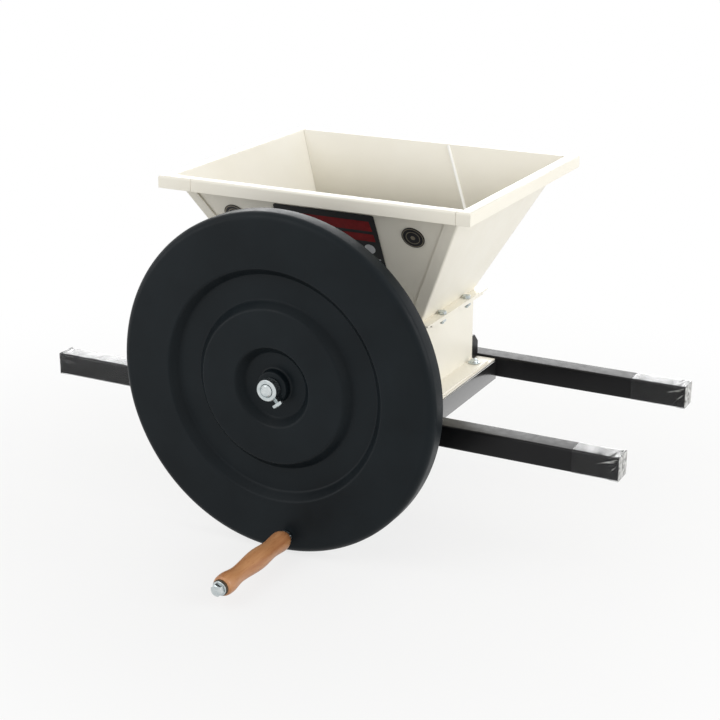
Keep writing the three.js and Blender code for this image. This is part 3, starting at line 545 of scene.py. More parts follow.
# %% Give each solid its finish
finish_of_slot = {
    "cream_paint": cream, "black_paint": rail_black, "black_plastic": wheel_black, "zinc": zinc,
    "stainless": stainless, "cast_iron": casting, "white_nylon": nylon, "turned_wood": beech,
    "label_print": label_black,
}
slot_of_node = {row["node"]: row["material_slot"] for row in frame["record"]["subparts"]}
for name, solid in frame["nodes"].items():
    solid.data.materials.clear()
    solid.data.materials.append(finish_of_slot[slot_of_node[name]].material)
print(len(slot_of_node), "solids have", len(finish_of_slot), "finishes")

# %% [markdown]
# The flywheel
#
# The wheel is one moulding: a rounded rim, a flat face with a wide sunk ring in it, a sunk dish
# round the hub, and eight ribs behind. The face is a single formula: its depth is a sum of three
# steps, each a straight slope with eased ends. A drawn profile would do too, but the steps keep
# their radii as named values.

# %% Sizes of the wheel
wheel_low, wheel_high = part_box("flywheel")
wheel_radius = (wheel_high.x - wheel_low.x) / 2
wheel_axis_z = (wheel_high.z + wheel_low.z) / 2
wheel_front, wheel_back = wheel_low.y, wheel_high.y
dish_edge, ring_inner, ring_outer = 0.048, 0.106, 0.148
step_run, step_depth = 0.012, 0.012
hub_radius, bore_radius = 0.021, 0.0083
rim_round, rim_wall, web_wall = 0.010, 0.008, 0.006
rib_count, rib_half, rib_setback = 8, 0.0025, 0.003
print(f"wheel of {wheel_radius:.4f} m radius and {wheel_back - wheel_front:.4f} m depth")

# %% Steps of the wheel's face


def ramp(t, ease=0.16):
    """A straight slope from 0 to 1 with eased ends: t^2 / (2 ease (1 - ease)) up to t = ease, then
    (t - ease / 2) / (1 - ease), and the first part mirrored at the top."""
    t = np.clip(t, 0, 1)
    foot = np.minimum(t, 1 - t)
    low = np.where(foot < ease, foot**2 / (2 * ease * (1 - ease)), (foot - ease / 2) / (1 - ease))
    return np.where(t < 0.5, low, 1 - low)


def face_depth(r):
    """How far the wheel's face lies behind the rim's plane, by radius."""
    step = [ramp((r - edge) / step_run + 0.5) for edge in (dish_edge, ring_inner, ring_outer)]
    return step_depth * (1 - step[0] + step[1] - step[2])


def arc(centre, radius, start, end, steps=10):
    """Points on a circle, from one angle to another, in degrees."""
    a = np.radians(np.linspace(start, end, steps + 1))
    return np.column_stack([centre[0] + radius * np.cos(a), centre[1] + radius * np.sin(a)])


print(f"the dish is {face_depth(0.0):.3f} m deep, the land round it {face_depth(0.07):.3f} m")

# %% Front of the wheel
wheel_segments = 256
fillet, edge_round, hub_ease = 0.003, 0.002, 0.001
stepped_to, flat_at = 0.160, [0.180, 0.200]
web_r = np.concatenate([np.linspace(hub_radius + fillet, stepped_to, 110), flat_at])
front_web = np.column_stack([web_r, wheel_front + face_depth(web_r)])
floor_y = wheel_front + step_depth
hub_front = np.vstack([
    [[bore_radius, wheel_front + hub_ease], [bore_radius + hub_ease, wheel_front]],
    arc((hub_radius - edge_round, wheel_front + edge_round), edge_round, -90, 0, 5),
    arc((hub_radius + fillet, floor_y - fillet), fillet, 180, 90, 5),
])
rim_front = arc((wheel_radius - rim_round, wheel_front + rim_round), rim_round, -90, 0, 14)
print(f"front profile of {len(hub_front) + len(front_web) + len(rim_front)} points")

# %% Back of the wheel
root_round = 0.004
rim_inner = wheel_radius - rim_wall
rim_back = np.vstack([
    arc((wheel_radius - edge_round, wheel_back - edge_round), edge_round, 0, 90, 4),
    arc((rim_inner + edge_round, wheel_back - edge_round), edge_round, 90, 180, 4),
])
rim_corner = arc((rim_inner - root_round, wheel_front + web_wall + root_round), root_round, 0, -90, 5)
back_web = front_web[::-1] + (0, web_wall)
hub_rear = np.vstack([
    arc((hub_radius + fillet, floor_y + web_wall + fillet), fillet, -90, -180, 5),
    arc((hub_radius - hub_ease, wheel_back - hub_ease), hub_ease, 0, 90, 3),
    [[bore_radius, wheel_back]],
])
wheel_profile = np.vstack([hub_front, front_web, rim_front, rim_back, rim_corner, back_web, hub_rear])
print(f"whole profile of {len(wheel_profile)} points")

# %% Add the ribs and turn the wheel
rib_overlap = 0.001


def rib(angle):
    """A rib behind the web: at each radius a rectangle from the web's back to a plane near the rim's back."""
    r = np.linspace(hub_radius - rib_overlap, rim_inner + rib_overlap, 60)
    bottom = wheel_front + face_depth(r) + web_wall / 2
    top = np.full_like(r, wheel_back - rib_setback)
    side = np.array([-1, 1, 1, -1]) * rib_half
    depth = np.stack([bottom, bottom, top, top], -1)
    x = r[:, None] * math.cos(angle) - side * math.sin(angle)
    z = r[:, None] * math.sin(angle) + side * math.cos(angle)
    return loft(np.stack([x, depth, wheel_axis_z + z], -1))


rib_angles = 2 * math.pi * (np.arange(rib_count) + 0.5) / rib_count
wheel_part = joined(turned(wheel_profile, 0, wheel_axis_z, wheel_segments), *[rib(-a) for a in rib_angles])
piece("flywheel_moulding", wheel_part, wheel_black.material, "rotor", ["flywheel"])

# %% [markdown]
# The hopper's rim
#
# Each panel is one folded sheet. Its rim is a lip that hangs down, a flat top, and a bend into the
# sloping wall. The same profile runs all the way round: the side panels carry it round the four
# corners in a mitre, and the front and back panels fill the straight runs between the joints.
# A bevelled bar would be quicker, but it couldn't show the sheet's edge under the lip.

# %% Sizes of the hopper
sheet = 0.002
right_low, right_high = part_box("hopper_right_panel")
rim_top, outlet_z = right_high.z, right_low.z
hopper_y = (right_high.y + right_low.y) / 2
rim_flange, rim_lip = 0.0164, 0.0164
mouth_x, mouth_y = right_high.x - rim_flange, right_high.y - hopper_y - rim_flange
outlet_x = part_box("housing_side_right")[0].x
outlet_y = hopper_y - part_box("housing_front_plate")[1].y
slope_x = (mouth_x - outlet_x) / (rim_top - outlet_z)
slope_y = (mouth_y - outlet_y) / (rim_top - outlet_z)
joint_gap = 0.0006
corner_wrap, long_wrap = 0.0195, 0.050
joint_right = right_high.x - corner_wrap - joint_gap / 2
joint_left = -(right_high.x - long_wrap - joint_gap / 2)
bend = 0.003
print(f"mouth {2 * mouth_x:.3f} by {2 * mouth_y:.3f} m, outlet {2 * outlet_x:.3f} by {2 * outlet_y:.3f} m")


def inner_x(z):
    """Half the hopper's inside width at a height."""
    return outlet_x + slope_x * (z - outlet_z)


def inner_y(z):
    """Half the hopper's inside depth at a height."""
    return outlet_y + slope_y * (z - outlet_z)


# %% Profile of the rim
slope = (slope_x + slope_y) / 2
bend_reach = bend * math.tan((math.pi / 2 - math.atan(slope)) / 2)
wall_top = rim_top - bend_reach * math.cos(math.atan(slope))
rim_corners = [(rim_flange, -rim_lip), (rim_flange, 0), (0, 0), (-2 * slope * bend_reach, -2 * bend_reach)]
rim_line = rounded_line(rim_corners, bend)[:-1]
rim_outline = strip(rim_line, sheet)
print(f"rim profile of {len(rim_outline)} points, walls from {wall_top:.4f} m down")


def rim_ring(x_of, y_of):
    """The rim's outline at one station: x and y are functions of the distance from the mouth's edge."""
    d, z = rim_outline.T
    return np.stack([x_of(d), hopper_y + y_of(d), rim_top + z], -1)


def end_rim(outward, x0, x1):
    """The rim of the front or back panel, straight along X between its joints."""
    return loft([rim_ring(lambda d: d * 0 + x, lambda d: outward * (mouth_y + d)) for x in (x0, x1)])


def side_rim(outward, front_x, back_x):
    """The rim of a side panel: from the front joint round both corners to the back joint."""
    def corner(end):
        return rim_ring(lambda d: outward * (mouth_x + d), lambda d: end * (mouth_y + d))

    def joint(end, x):
        return rim_ring(lambda d: d * 0 + x, lambda d: end * (mouth_y + d))
    return loft([joint(-1, front_x), corner(-1), corner(1), joint(1, back_x)])


# %% [markdown]
# The hopper's walls
#
# Going down, every wall is straight, so two outlines are enough: one under the rim and one at the
# outlet. The side panels fold round the front and back panels at the corners, in a strip that
# shows as a lighter band on the photograph. The front and back walls are plain trapeziums. Single
# faces with a Solidify could stand for the walls, but the folds would lose their bends.

# %% Walls and feet
corner_fold = 0.018
fold_gap = 0.0004
foot_reach = 0.016
wall_x = sheet * math.sqrt(1 + slope_x**2)
wall_y = sheet * math.sqrt(1 + slope_y**2)
print(f"side walls lean by {math.degrees(math.atan(slope_x)):.1f} degrees")


def side_section(z, outward):
    """A side wall from above at one height: a channel whose two flanges lie on the end walls."""
    x, y = inner_x(z), inner_y(z) + wall_y + fold_gap
    outer = [(x + wall_x - corner_fold, -y - wall_y), (x + wall_x, -y - wall_y),
             (x + wall_x, y + wall_y), (x + wall_x - corner_fold, y + wall_y)]
    line = rounded_line(outer, bend)
    section = strip(line, wall_x)
    return np.column_stack([outward * section[:, 0], hopper_y + section[:, 1], np.full(len(section), z)])


def side_wall(outward):
    """A side wall between its outline at the outlet and the one under the rim."""
    return loft([side_section(z, outward) for z in (outlet_z + sheet, wall_top)])


def end_wall(outward):
    """A front or back wall: a thin trapezium between the side walls."""
    def ring(z):
        x, y = inner_x(z) - fold_gap, inner_y(z)
        return [(-x, hopper_y + outward * y, z), (x, hopper_y + outward * y, z),
                (x, hopper_y + outward * (y + wall_y), z), (-x, hopper_y + outward * (y + wall_y), z)]
    return loft([ring(z) for z in (outlet_z, wall_top)])


def slab(x0, x1, y0, y1, z0, z1):
    """A plate between six planes."""
    ring = [(x0, y0), (x1, y0), (x1, y1), (x0, y1)]
    return loft([[(x, y, z) for x, y in ring] for z in (z0, z1)])


def end_foot(outward):
    """The flange at the bottom of a front or back wall."""
    near, far = outlet_y, outlet_y + wall_y + foot_reach
    across = outlet_x - fold_gap
    along = sorted((hopper_y + outward * near, hopper_y + outward * far))
    return slab(-across, across, *along, outlet_z, outlet_z + sheet)


def side_foot(outward):
    """The flange at the bottom of a side wall, as long as the channel above it."""
    near, far = outlet_x, outlet_x + wall_x + foot_reach
    reach = outlet_y + wall_y + foot_reach
    return slab(*sorted((outward * near, outward * far)), hopper_y - reach, hopper_y + reach,
                outlet_z, outlet_z + sheet)


# %% Fold the four panels
front_part = joined(end_rim(-1, joint_left, joint_right), end_wall(-1), end_foot(-1))
back_part = joined(end_rim(1, -joint_right, joint_right), end_wall(1), end_foot(1))
left_rim = side_rim(-1, joint_left - joint_gap, -joint_right - joint_gap)
right_rim = side_rim(1, joint_right + joint_gap, joint_right + joint_gap)
left_part = joined(left_rim, side_wall(-1), side_foot(-1))
right_part = joined(right_rim, side_wall(1), side_foot(1))
for side, part in (("front", front_part), ("back", back_part), ("left", left_part), ("right", right_part)):
    piece(f"hopper_{side}_sheet", part, cream.material, "frame", [f"hopper_{side}_panel"])

# %% [markdown]
# The seam on the back wall
#
# A thin raised line runs down the inside of the back wall, from the middle of the rim towards the
# outlet's right corner. A round bar half sunk in the wall is enough, and its finish is the smoothest
# white here, paler than the paint: that paleness is a painted highlight, standing for the bright line
# of light along it. A curve with a bevel would do the same, but it would have to be made a mesh first.

# %% Run the bead
# The bead's white, paler than the cream round it, is a painted highlight along the seam.
painted_highlight_white = Finish("painted_highlight_white", Roughness=0.3, IOR=1.5)
painted_highlight_white.clouded(120, 3, (249, 248, 243), (253, 252, 249))
painted_highlight_white.relief(painted_highlight_white.noise(300, 2), 0.00005)
bead_radius = 0.0021
bead_top = (0.032, rim_top - 0.003)
bead_foot = (0.083, 0.222)


def on_back_wall(x, z):
    """A point of the back wall's inner face, by its x and height."""
    return np.array([x, hopper_y + inner_y(z), z])


def tube_between(start, end, radius, sides=16):
    """A round bar from one point to another with a half-round end at both: its radius is
    radius * sin(q) and its place along the bar moves by radius * cos(q) within each end."""
    along = np.asarray(end) - np.asarray(start)
    length = np.linalg.norm(along)
    q = np.linspace(0.05, math.pi / 2, 6)
    r = radius * np.concatenate([np.sin(q), np.sin(q)[::-1]])
    h = np.concatenate([-radius * np.cos(q), length + radius * np.cos(q)[::-1]])
    a = np.linspace(0, 2 * math.pi, sides, endpoint=False)
    rings = np.stack([r[:, None] * np.cos(a), r[:, None] * np.sin(a), h[:, None] + 0 * a], -1)
    return placed(loft(rings), start, along, (0, 0, 1))


bead = tube_between(on_back_wall(*bead_top), on_back_wall(*bead_foot), bead_radius)
piece("back_wall_bead", bead, painted_highlight_white.material, "frame")

# %% [markdown]
# Rails and their plugs
#
# The rails are drawn square tube with a small corner radius. A moulded plug closes each end, with
# a shallow four-sided dome. An extruded square with a Bevel would look alike, but the outline is
# one function that the plug and the packing film use as well.

# %% Square tubes and plugs
tube_wall, tube_corner, tube_inner_corner = 0.002, 0.0032, 0.002
plug_gap = 0.0003
plug_dome = 0.0011
plug_setback = 0.0018
print(f"tube corners of {1000 * tube_corner:.1f} mm radius")


def square_ring(x, y, z, half, corner):
    """A rounded square across the X axis, centred on (y, z)."""
    outline = rounded_rectangle(half, half, corner)
    return np.column_stack([np.full(len(outline), x), y + outline[:, 0], z + outline[:, 1]])


def square_tube(x0, x1, y, z, half):
    """A square tube along X with open ends."""
    outer = [square_ring(x, y, z, half, tube_corner) for x in (x0, x1)]
    inner = [square_ring(x, y, z, half - tube_wall, tube_inner_corner) for x in (x0, x1)]
    return hollow_loft(outer, inner)


def domed_plug(x_seat, x_end, y, z, half):
    """A plug's head: a rim as wide as the tube, then a low dome whose half width falls with height as
    half * (1 - 0.9 * t) while it rises by dome * (1 - (1 - t) ^ 2)."""
    way = math.copysign(1, x_end - x_seat)
    rim = x_end - way * plug_dome
    t = np.linspace(0, 1, 9)
    halves = half - half * 0.9 * t
    places = rim + way * plug_dome * (1 - (1 - t) ** 2)
    rings = [square_ring(x_seat, y, z, half, tube_corner)]
    rings += [square_ring(x, y, z, h, tube_corner * h / half) for x, h in zip(places, halves)]
    return loft(rings)


# %% Draw the rails
rails = {}
for side in ("front", "back"):
    low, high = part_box(f"{side}_rail")
    y, z, half = (low.y + high.y) / 2, (low.z + high.z) / 2, (high.z - low.z) / 2
    rails[side] = (low.x, high.x, y, z, half)
    piece(f"{side}_rail_tube", square_tube(*rails[side]), rail_black.material, "frame",
          [f"{side}_rail"])
    for end, seat in (("left", low.x), ("right", high.x)):
        plug_low, plug_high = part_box(f"rail_plug_{side}_{end}")
        tip = plug_low.x if end == "left" else plug_high.x
        gap = math.copysign(plug_gap, tip)
        wrapped = (side, end) != ("back", "left")
        tip -= math.copysign(plug_setback, tip) * wrapped
        piece(f"{side}_{end}_plug", domed_plug(seat + gap, tip, y, z, half), plug_black.material, "frame",
              [f"rail_plug_{side}_{end}"])

# %% [markdown]
# Cross members
#
# Each cross member is a rolled angle: its upright leg faces outwards and its shelf carries the
# plate. Rolling leaves a round root between the legs and eased outer edges, and a narrow strip of
# its top shows beside the plate. The section is an outline in X and Z carried straight along Y,
# where two crossed plates would lack the root. The holes for the foot bolts are hidden under the
# feet and the nuts, so they need no cutting.

# %% Roll the angles
angle_thickness, angle_shelf = 0.003, 0.030
strip_beside_plate, edge_ease = 0.0022, 0.0006
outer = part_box("base_plate")[1].x + strip_beside_plate
inner = outer - angle_thickness
shelf_edge = outer - angle_shelf
for side, way in (("left", -1), ("right", 1)):
    low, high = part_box(f"{side}_cross_member")
    top, foot = high.z, low.z + strip_beside_plate
    under, middle = top - angle_thickness, top - angle_thickness / 2
    x, z = rounded_line([
        (shelf_edge, middle), (shelf_edge, top), (outer, top), (outer, foot), (inner, foot), (inner, under),
        (shelf_edge, under), (shelf_edge, middle),
    ], edge_ease, 3)[:-1].T
    rings = [np.column_stack([way * x, np.full(len(x), y), z]) for y in (low.y, high.y)]
    piece(f"{side}_angle", loft(rings), angle_black.material, "frame",
          [f"{side}_cross_member"])

# %% [markdown]
# Packing film on the rails' ends
#
# Clear film is wound over three of the rails' ends and folded shut like a parcel. It stands off
# the tube by a fraction of a millimetre, in loose waves that get deeper towards the end. The waves
# are a sum of sines round the tube and along it, so they come out the same each time. Over the
# end the layers lie on each other in creased folds, so that part has its own, milkier finish.

# %% Wind the film
film_stand_off = 0.0005
film_wave = 0.00006
crumple_reach, crumple_depth = 0.022, 0.0006
film_skin = 0.00012
print(f"film {1000 * film_skin:.2f} mm thick")


def smooth(t):
    """Rises from 0 to 1 as t * t * (3 - 2 * t), and stays there outside."""
    t = np.clip(t, 0, 1)
    return t * t * (3 - 2 * t)


def film_ring(x, y, z, half, phase, crumple):
    """The tube's outline moved out by the stand-off, by waves of sin(3 a + 170 x) and 0.6 *
    sin(7 a - 310 x) of the angle a round the tube and the place x, and where it is crumpled by
    creases of |sin(5 a + 240 x)|. Each end has a phase of its own."""
    outline = rounded_rectangle(half, half, tube_corner, 10)
    around = np.linspace(0, 2 * math.pi, len(outline), endpoint=False)
    wave = np.sin(3 * around + 170 * x + phase) + 0.6 * np.sin(7 * around - 310 * x + 2 * phase)
    crease = np.abs(np.sin(5 * around + 240 * x + 3 * phase))
    out = 1 + (film_stand_off + film_wave * (1.6 + wave) + crumple_depth * crumple * crease) / half
    return np.column_stack([np.full(len(outline), x), y + out * outline[:, 0], z + out * outline[:, 1]])


def film_sleeve(x_open, x_end, y, z, half, phase):
    """Film round the tube from its open edge to the tube's end: the crumple rises from 0 to 1 by
    smooth(t) over its reach."""
    places = np.linspace(x_open, x_end, 60)
    crumple = smooth(1 - np.abs(places - x_end) / crumple_reach)
    outer = np.asarray([film_ring(x, y, z, half, phase, c) for x, c in zip(places, crumple)])
    centre = np.array([0, y, z])
    inner = centre + (outer - centre) * (1 - film_skin / half)
    inner[:, :, 0] = outer[:, :, 0]
    return hollow_loft(outer, inner)


# %% Fold the film over the ends


def film_cap(x_flat, x_tip, y, z, half, phase):
    """The folded end: over a square of (u, v) from -1 to 1 the film stands proud of the plug by
    0.72 * (1 - max(|u|, |v|)) ^ 0.6 of its rise, which is a low pyramid, with creases of
    0.28 * |sin| * |sin| laid over it that fade out at the square's edge."""
    u, v = np.meshgrid(np.linspace(-1, 1, 61), np.linspace(-1, 1, 61), indexing="ij")
    edge = np.maximum(np.abs(u), np.abs(v))
    pyramid = (1 - edge) ** 0.6
    crease = np.abs(np.sin(4.1 * u + 2.3 * v + phase)) * np.abs(np.sin(2.9 * v - 3.7 * u + 2 * phase))
    rise = (x_tip - x_flat) * np.clip(0.72 * pyramid + 0.28 * crease * np.minimum(1, 5 * (1 - edge)), 0, 1)
    size = half + film_stand_off
    outer = np.stack([x_flat + rise, y + size * u, z + size * v], -1)
    inner = outer - (math.copysign(film_skin, x_tip - x_flat), 0, 0)
    return closed_sheet(outer, inner)


def closed_sheet(front, back):
    """Two grids of the same size as one closed skin: front, back, and a band round their edges."""
    rows, cols = front.shape[:2]
    number = np.arange(rows * cols).reshape(rows, cols)
    loop = np.concatenate([number[0, :-1], number[:-1, -1], number[-1, :0:-1], number[:0:-1, 0]])
    after = np.roll(loop, -1)
    band = np.stack([loop, loop + rows * cols, after + rows * cols, after], -1)
    faces = grid_quads(rows, cols, wrap_cols=False)
    points = np.concatenate([front.reshape(-1, 3), back.reshape(-1, 3)])
    return points, np.concatenate([faces, faces[:, ::-1] + rows * cols, band]), []


# %% Press the creases
crease_rise = 0.0003
fine_creases = [
    ((0.003, 0.0138), (0.030, 0.0040), 0.0008), ((0.006, 0.0098), (0.021, 0.0072), 0.0005),
    ((0.004, 0.0050), (0.014, -0.0040), 0.0006),
]
broad_creases = [((0.002, 0.0100), (0.030, 0.0060), 0.0030)]
print(len(fine_creases), "fine creases and", len(broad_creases), "broad one")


def film_crease(tip, way, y, z, half, start, end, width):
    """A crease pressed flat on the front face: a spindle between two points of (distance from the
    end, height), whose half width is width * sin(pi * t ^ 0.7) and which sags by width * sin(pi * t)."""
    t = np.linspace(0.02, 0.98, 15)
    away, rise = (start[k] + (end[k] - start[k]) * t for k in range(2))
    rise = rise - width * np.sin(math.pi * t)
    wide = width * np.sin(math.pi * t**0.7)
    face = y - half - film_stand_off - crease_rise
    rings = []
    for side, out in ((1, 0), (1, crease_rise), (-1, crease_rise), (-1, 0)):
        rings.append(np.stack([tip - way * away, np.full_like(t, face - out), z + rise + side * wide], -1))
    return loft(np.stack(rings, 1))


# %% Wrap three of the ends
film_reach = {("front", "right"): 0.062, ("back", "right"): 0.078, ("front", "left"): 0.19}
cap_flat, cap_gap = 0.0016, 0.0002
for phase, ((side, end), reach) in enumerate(film_reach.items()):
    x0, x1, y, z, half = rails[side]
    low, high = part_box(f"rail_plug_{side}_{end}")
    tip = high.x if end == "right" else low.x
    way = math.copysign(1, tip)
    clear = [film_sleeve(tip - way * reach, tip - way * (cap_flat + cap_gap), y, z, half, phase)]
    milky = [film_cap(tip - way * cap_flat, tip, y, z, half, phase + 1)]
    creased, lines = (milky, fine_creases) if end == "right" else (clear, broad_creases)
    creased.extend(film_crease(tip, way, y, z, half, *line) for line in lines)
    piece(f"film_{side}_{end}", joined(*clear), film.material, "frame", sharp=60)
    piece(f"folded_film_{side}_{end}", joined(*milky), folded_film.material, "frame",
          sharp=25)

# %% [markdown]
# Bolts, nuts and threads
#
# A hexagon head is a hexagonal prism turned off by a cone at its corners. In polar form its radius
# is the smaller of the two: half the width across flats over the cosine of the angle from the
# nearest flat, and the cone's radius at that height. A thread is a rod whose radius falls by a
# triangle wave that climbs one pitch in a turn.

# %% Hexagons and threads
round_steps = 96
chamfer_share = 0.1
corner_reach, corner_cut = 1.156, 0.26
thread_depth, thread_lead = 0.61, 0.3
thread_sides, rows_in_a_pitch = 28, 7


def hexagon(flats, height, bore=0.0, both_ends=False):
    """A bolt head or nut along +Z, standing on z = 0, chamfered at its top or at both ends."""
    a = np.linspace(0, 2 * math.pi, round_steps, endpoint=False)
    hexagonal = (flats / 2) / np.cos((a + math.pi / 6) % (math.pi / 3) - math.pi / 6)
    chamfer = flats * chamfer_share
    h = np.concatenate([np.linspace(0, chamfer, 5), np.linspace(height - chamfer, height, 5)])
    into_top = np.clip(1 - (height - h) / chamfer, 0, 1)
    into_bottom = np.clip(1 - h / chamfer, 0, 1) * both_ends
    cone = (flats / 2) * (corner_reach - corner_cut * np.maximum(into_top, into_bottom))
    r = np.minimum(hexagonal[None, :], cone[:, None])
    rings = np.stack([r * np.cos(a), r * np.sin(a), h[:, None] + 0 * r], -1)
    if not bore:
        return loft(rings)
    hole = np.stack([bore * np.cos(a), bore * np.sin(a), 0 * a], -1)
    return hollow_loft(rings, [hole, hole + (0, 0, height)])


def threaded(radius, length, pitch):
    """A threaded rod along +Z from z = 0. Its radius falls by 0.61 pitch times a triangle wave of
    (z / pitch - angle / turn), and the first and last pitch are drawn in as a lead."""
    rows = max(4, int(length / pitch * rows_in_a_pitch))
    a = np.linspace(0, 2 * math.pi, thread_sides, endpoint=False)
    h = np.linspace(0, length, rows)[:, None]
    wave = np.abs(2 * ((h / pitch - a / (2 * math.pi)) % 1) - 1)
    lead = np.clip(np.minimum(h, length - h) / pitch, 0, 1)
    r = radius - thread_depth * pitch * wave - (1 - lead) * thread_lead * pitch
    return loft(np.stack([r * np.cos(a), r * np.sin(a), h + 0 * r], -1))


# %% Washers and domed heads
washer_radius, washer_bore, washer_thickness = 0.0085, 0.003, 0.0016
dome_radius, dome_height = 0.0062, 0.0050
print(f"washers {2000 * washer_radius:.0f} mm across, domed heads {2000 * dome_radius:.1f} mm")


def washer(outer, bore, thickness, steps=64):
    """A flat ring along +Z whose outer edges are eased by three tenths of its thickness."""
    a = np.linspace(0, 2 * math.pi, steps, endpoint=False)
    ease = thickness * 0.3
    levels = [(outer - ease, 0), (outer, ease), (outer, thickness - ease), (outer - ease, thickness),
              (bore, thickness), (bore, 0)]
    rings = np.array([[r * np.cos(a), r * np.sin(a), 0 * a + h] for r, h in levels]).transpose(0, 2, 1)
    return rings.reshape(-1, 3), grid_quads(len(levels), steps, wrap_rows=True), []


def dome(radius, height):
    """A domed head along +Z, standing on z = 0. Its radius at height h is
    radius * (1 - (h / height) ^ 2.4) ^ 0.5."""
    t = np.linspace(0, 0.98, 12)
    a = np.linspace(0, 2 * math.pi, 48, endpoint=False)
    r = radius * np.sqrt(1 - t**2.4)[:, None]
    return loft(np.stack([r * np.cos(a), r * np.sin(a), height * t[:, None] + 0 * a], -1))


# %% [markdown]
# The foot bolts have low domed heads on a washer on the mill box's feet, and their nuts are under
# the cross members. The hopper's bolts join two thin flanges. The bearings' bolts lie along the
# shaft. Each head has stopped at an angle of its own, as tightened bolts do: turning one copy for
# all would be quicker, but a row of equal heads looks printed.

# %% Foot bolts and their nuts
up = (0, 0, 1)
m8_radius, m8_flats, m8_head, m8_pitch, m8_nut_bore = 0.004, 0.013, 0.006, 0.00125, 0.0042
turn_of = {"front_left": 0.3, "front_right": 0.9, "rear_left": 0.6, "rear_right": 0.15}
foot_nut_turn, flange_nut_turn = 0.4, 0.7


def turned_start(angle):
    """A direction across Z, for a head that stopped at that angle when it was tightened."""
    return (math.cos(angle), math.sin(angle), 0.0)


def upright(name):
    """The axis of an upright bolt or nut, as a point at height 0, and its lowest and highest z."""
    low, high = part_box(name)
    return np.array([(low.x + high.x) / 2, (low.y + high.y) / 2, 0]), low.z, high.z


def foot_bolt(place):
    """A foot's bolt: a washer and a domed head on the foot, and the thread down to the bolt's tail."""
    centre, tail, top = upright(f"foot_bolt_{place}")
    seat = top - m8_head - washer_thickness
    return joined(
        placed(washer(washer_radius, washer_bore, washer_thickness), centre + (0, 0, seat), up),
        placed(dome(dome_radius, dome_height), centre + (0, 0, seat + washer_thickness), up),
        placed(threaded(m8_radius, seat - tail, m8_pitch), centre + (0, 0, tail), up),
    )


def foot_nut(place, angle):
    """The nut under a cross member, as high as its solid."""
    centre, foot, seat = upright(f"foot_nut_{place}")
    nut = hexagon(m8_flats, seat - foot, m8_nut_bore, True)
    return placed(nut, centre + (0, 0, foot), up, turned_start(angle + foot_nut_turn))


print("foot bolts of", m8_flats, "m across flats")

# %% Bolts of the hopper's flange
m6_radius, m6_flats, m6_head, m6_pitch = 0.003, 0.010, 0.0045, 0.001
thread_past_nut = 0.003


def flange_bolt(place, angle):
    """A bolt with its nut through the hopper's flange and the mill box's."""
    centre, tail, top = upright(f"hopper_bolt_{place}")
    head_z, nut_z = top - m6_head, tail + thread_past_nut
    nut = hexagon(m6_flats, m6_head, 0.0, True)
    return joined(
        placed(hexagon(m6_flats, m6_head), centre + (0, 0, head_z), up, turned_start(angle)),
        placed(nut, centre + (0, 0, nut_z), up, turned_start(angle + flange_nut_turn)),
        placed(threaded(m6_radius, head_z - tail, m6_pitch), centre + (0, 0, tail), up),
    )


for place, angle in turn_of.items():
    for name, part in (("foot_bolt", foot_bolt(place)), ("foot_nut", foot_nut(place, angle)),
                       ("hopper_bolt", flange_bolt(place, angle))):
        piece(f"{name}_{place}_fine", part, zinc.material, "frame", [f"{name}_{place}"])

# %% Bolts of the bearings
for place, angle in turn_of.items():
    low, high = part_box(f"bearing_bolt_{place}")
    x, z = (low.x + high.x) / 2, (low.z + high.z) / 2
    way = -1 if place.startswith("front") else 1
    head_y = low.y + m8_head if way < 0 else high.y - m8_head
    tail_y = high.y if way < 0 else low.y
    axis = (0, way, 0)
    bolt = joined(
        placed(hexagon(m8_flats, m8_head), (x, head_y, z), axis, turned_start(angle)),
        placed(threaded(m8_radius, abs(head_y - tail_y), m8_pitch), (x, tail_y, z), axis),
    )
    piece(f"bearing_bolt_{place}_fine", bolt, zinc.material, "frame", [f"bearing_bolt_{place}"])

# %% [markdown]
# Shaft, collars and clamp screw
#
# The shaft ends just proud of its collar, with a turned chamfer. The collar is bored for it, and a
# screw with a hexagon head clamps it. Cylinders with a Bevel would do for a far view, but turned
# profiles, closed on the axis or on themselves, keep every edge's size in one list.

# %% Turn the shaft and its collars
shaft_low, shaft_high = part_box("shaft")
axis_z = (shaft_low.z + shaft_high.z) / 2
shaft_r = 0.008
chamfer = 0.0019
collar_r, sleeve_r = 0.014, 0.012
shaft_profile = [
    (0, shaft_low.y), (shaft_r - chamfer, shaft_low.y), (shaft_r, shaft_low.y + chamfer),
    (shaft_r, shaft_high.y - chamfer), (shaft_r - chamfer, shaft_high.y), (0, shaft_high.y),
]
piece("shaft_bar", turned(shaft_profile, 0, axis_z), zinc.material, "rotor", ["shaft"])


def collar_profile(y0, y1, outer, bore, ease=0.0008):
    """A ring's section with its four edges turned off."""
    return [(bore, y0 + ease), (bore + ease, y0), (outer - ease, y0), (outer, y0 + ease),
            (outer, y1 - ease), (outer - ease, y1), (bore + ease, y1), (bore, y1 - ease)]


for name, radius in (("shaft_collar", collar_r), ("rear_collar", collar_r), ("spacer_sleeve", sleeve_r)):
    low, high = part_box(name)
    ring = turned(collar_profile(low.y, high.y, radius, bore_radius), 0, axis_z, 128)
    piece(f"{name}_ring", ring, zinc.material, "rotor", [name])

# %% Drive in the clamp screw
screw_angle = math.radians(-52)
screw_out = np.array([math.cos(screw_angle), 0, math.sin(screw_angle)])
collar_low, collar_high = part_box("shaft_collar")
screw_root = np.array([0, (collar_low.y + collar_high.y) / 2, axis_z])
screw_tip_at, screw_head_at = 0.0084, 0.020
screw_head_turn = (0.25, 1, 0.2)
thread = threaded(m6_radius, screw_head_at - screw_tip_at, m6_pitch)
screw = joined(
    placed(thread, screw_root + screw_tip_at * screw_out, screw_out, (0, 1, 0)),
    placed(hexagon(m8_flats, m6_head), screw_root + screw_head_at * screw_out, screw_out, screw_head_turn),
)
piece("clamp_screw_fine", screw, zinc.material, "rotor", ["clamp_screw"])

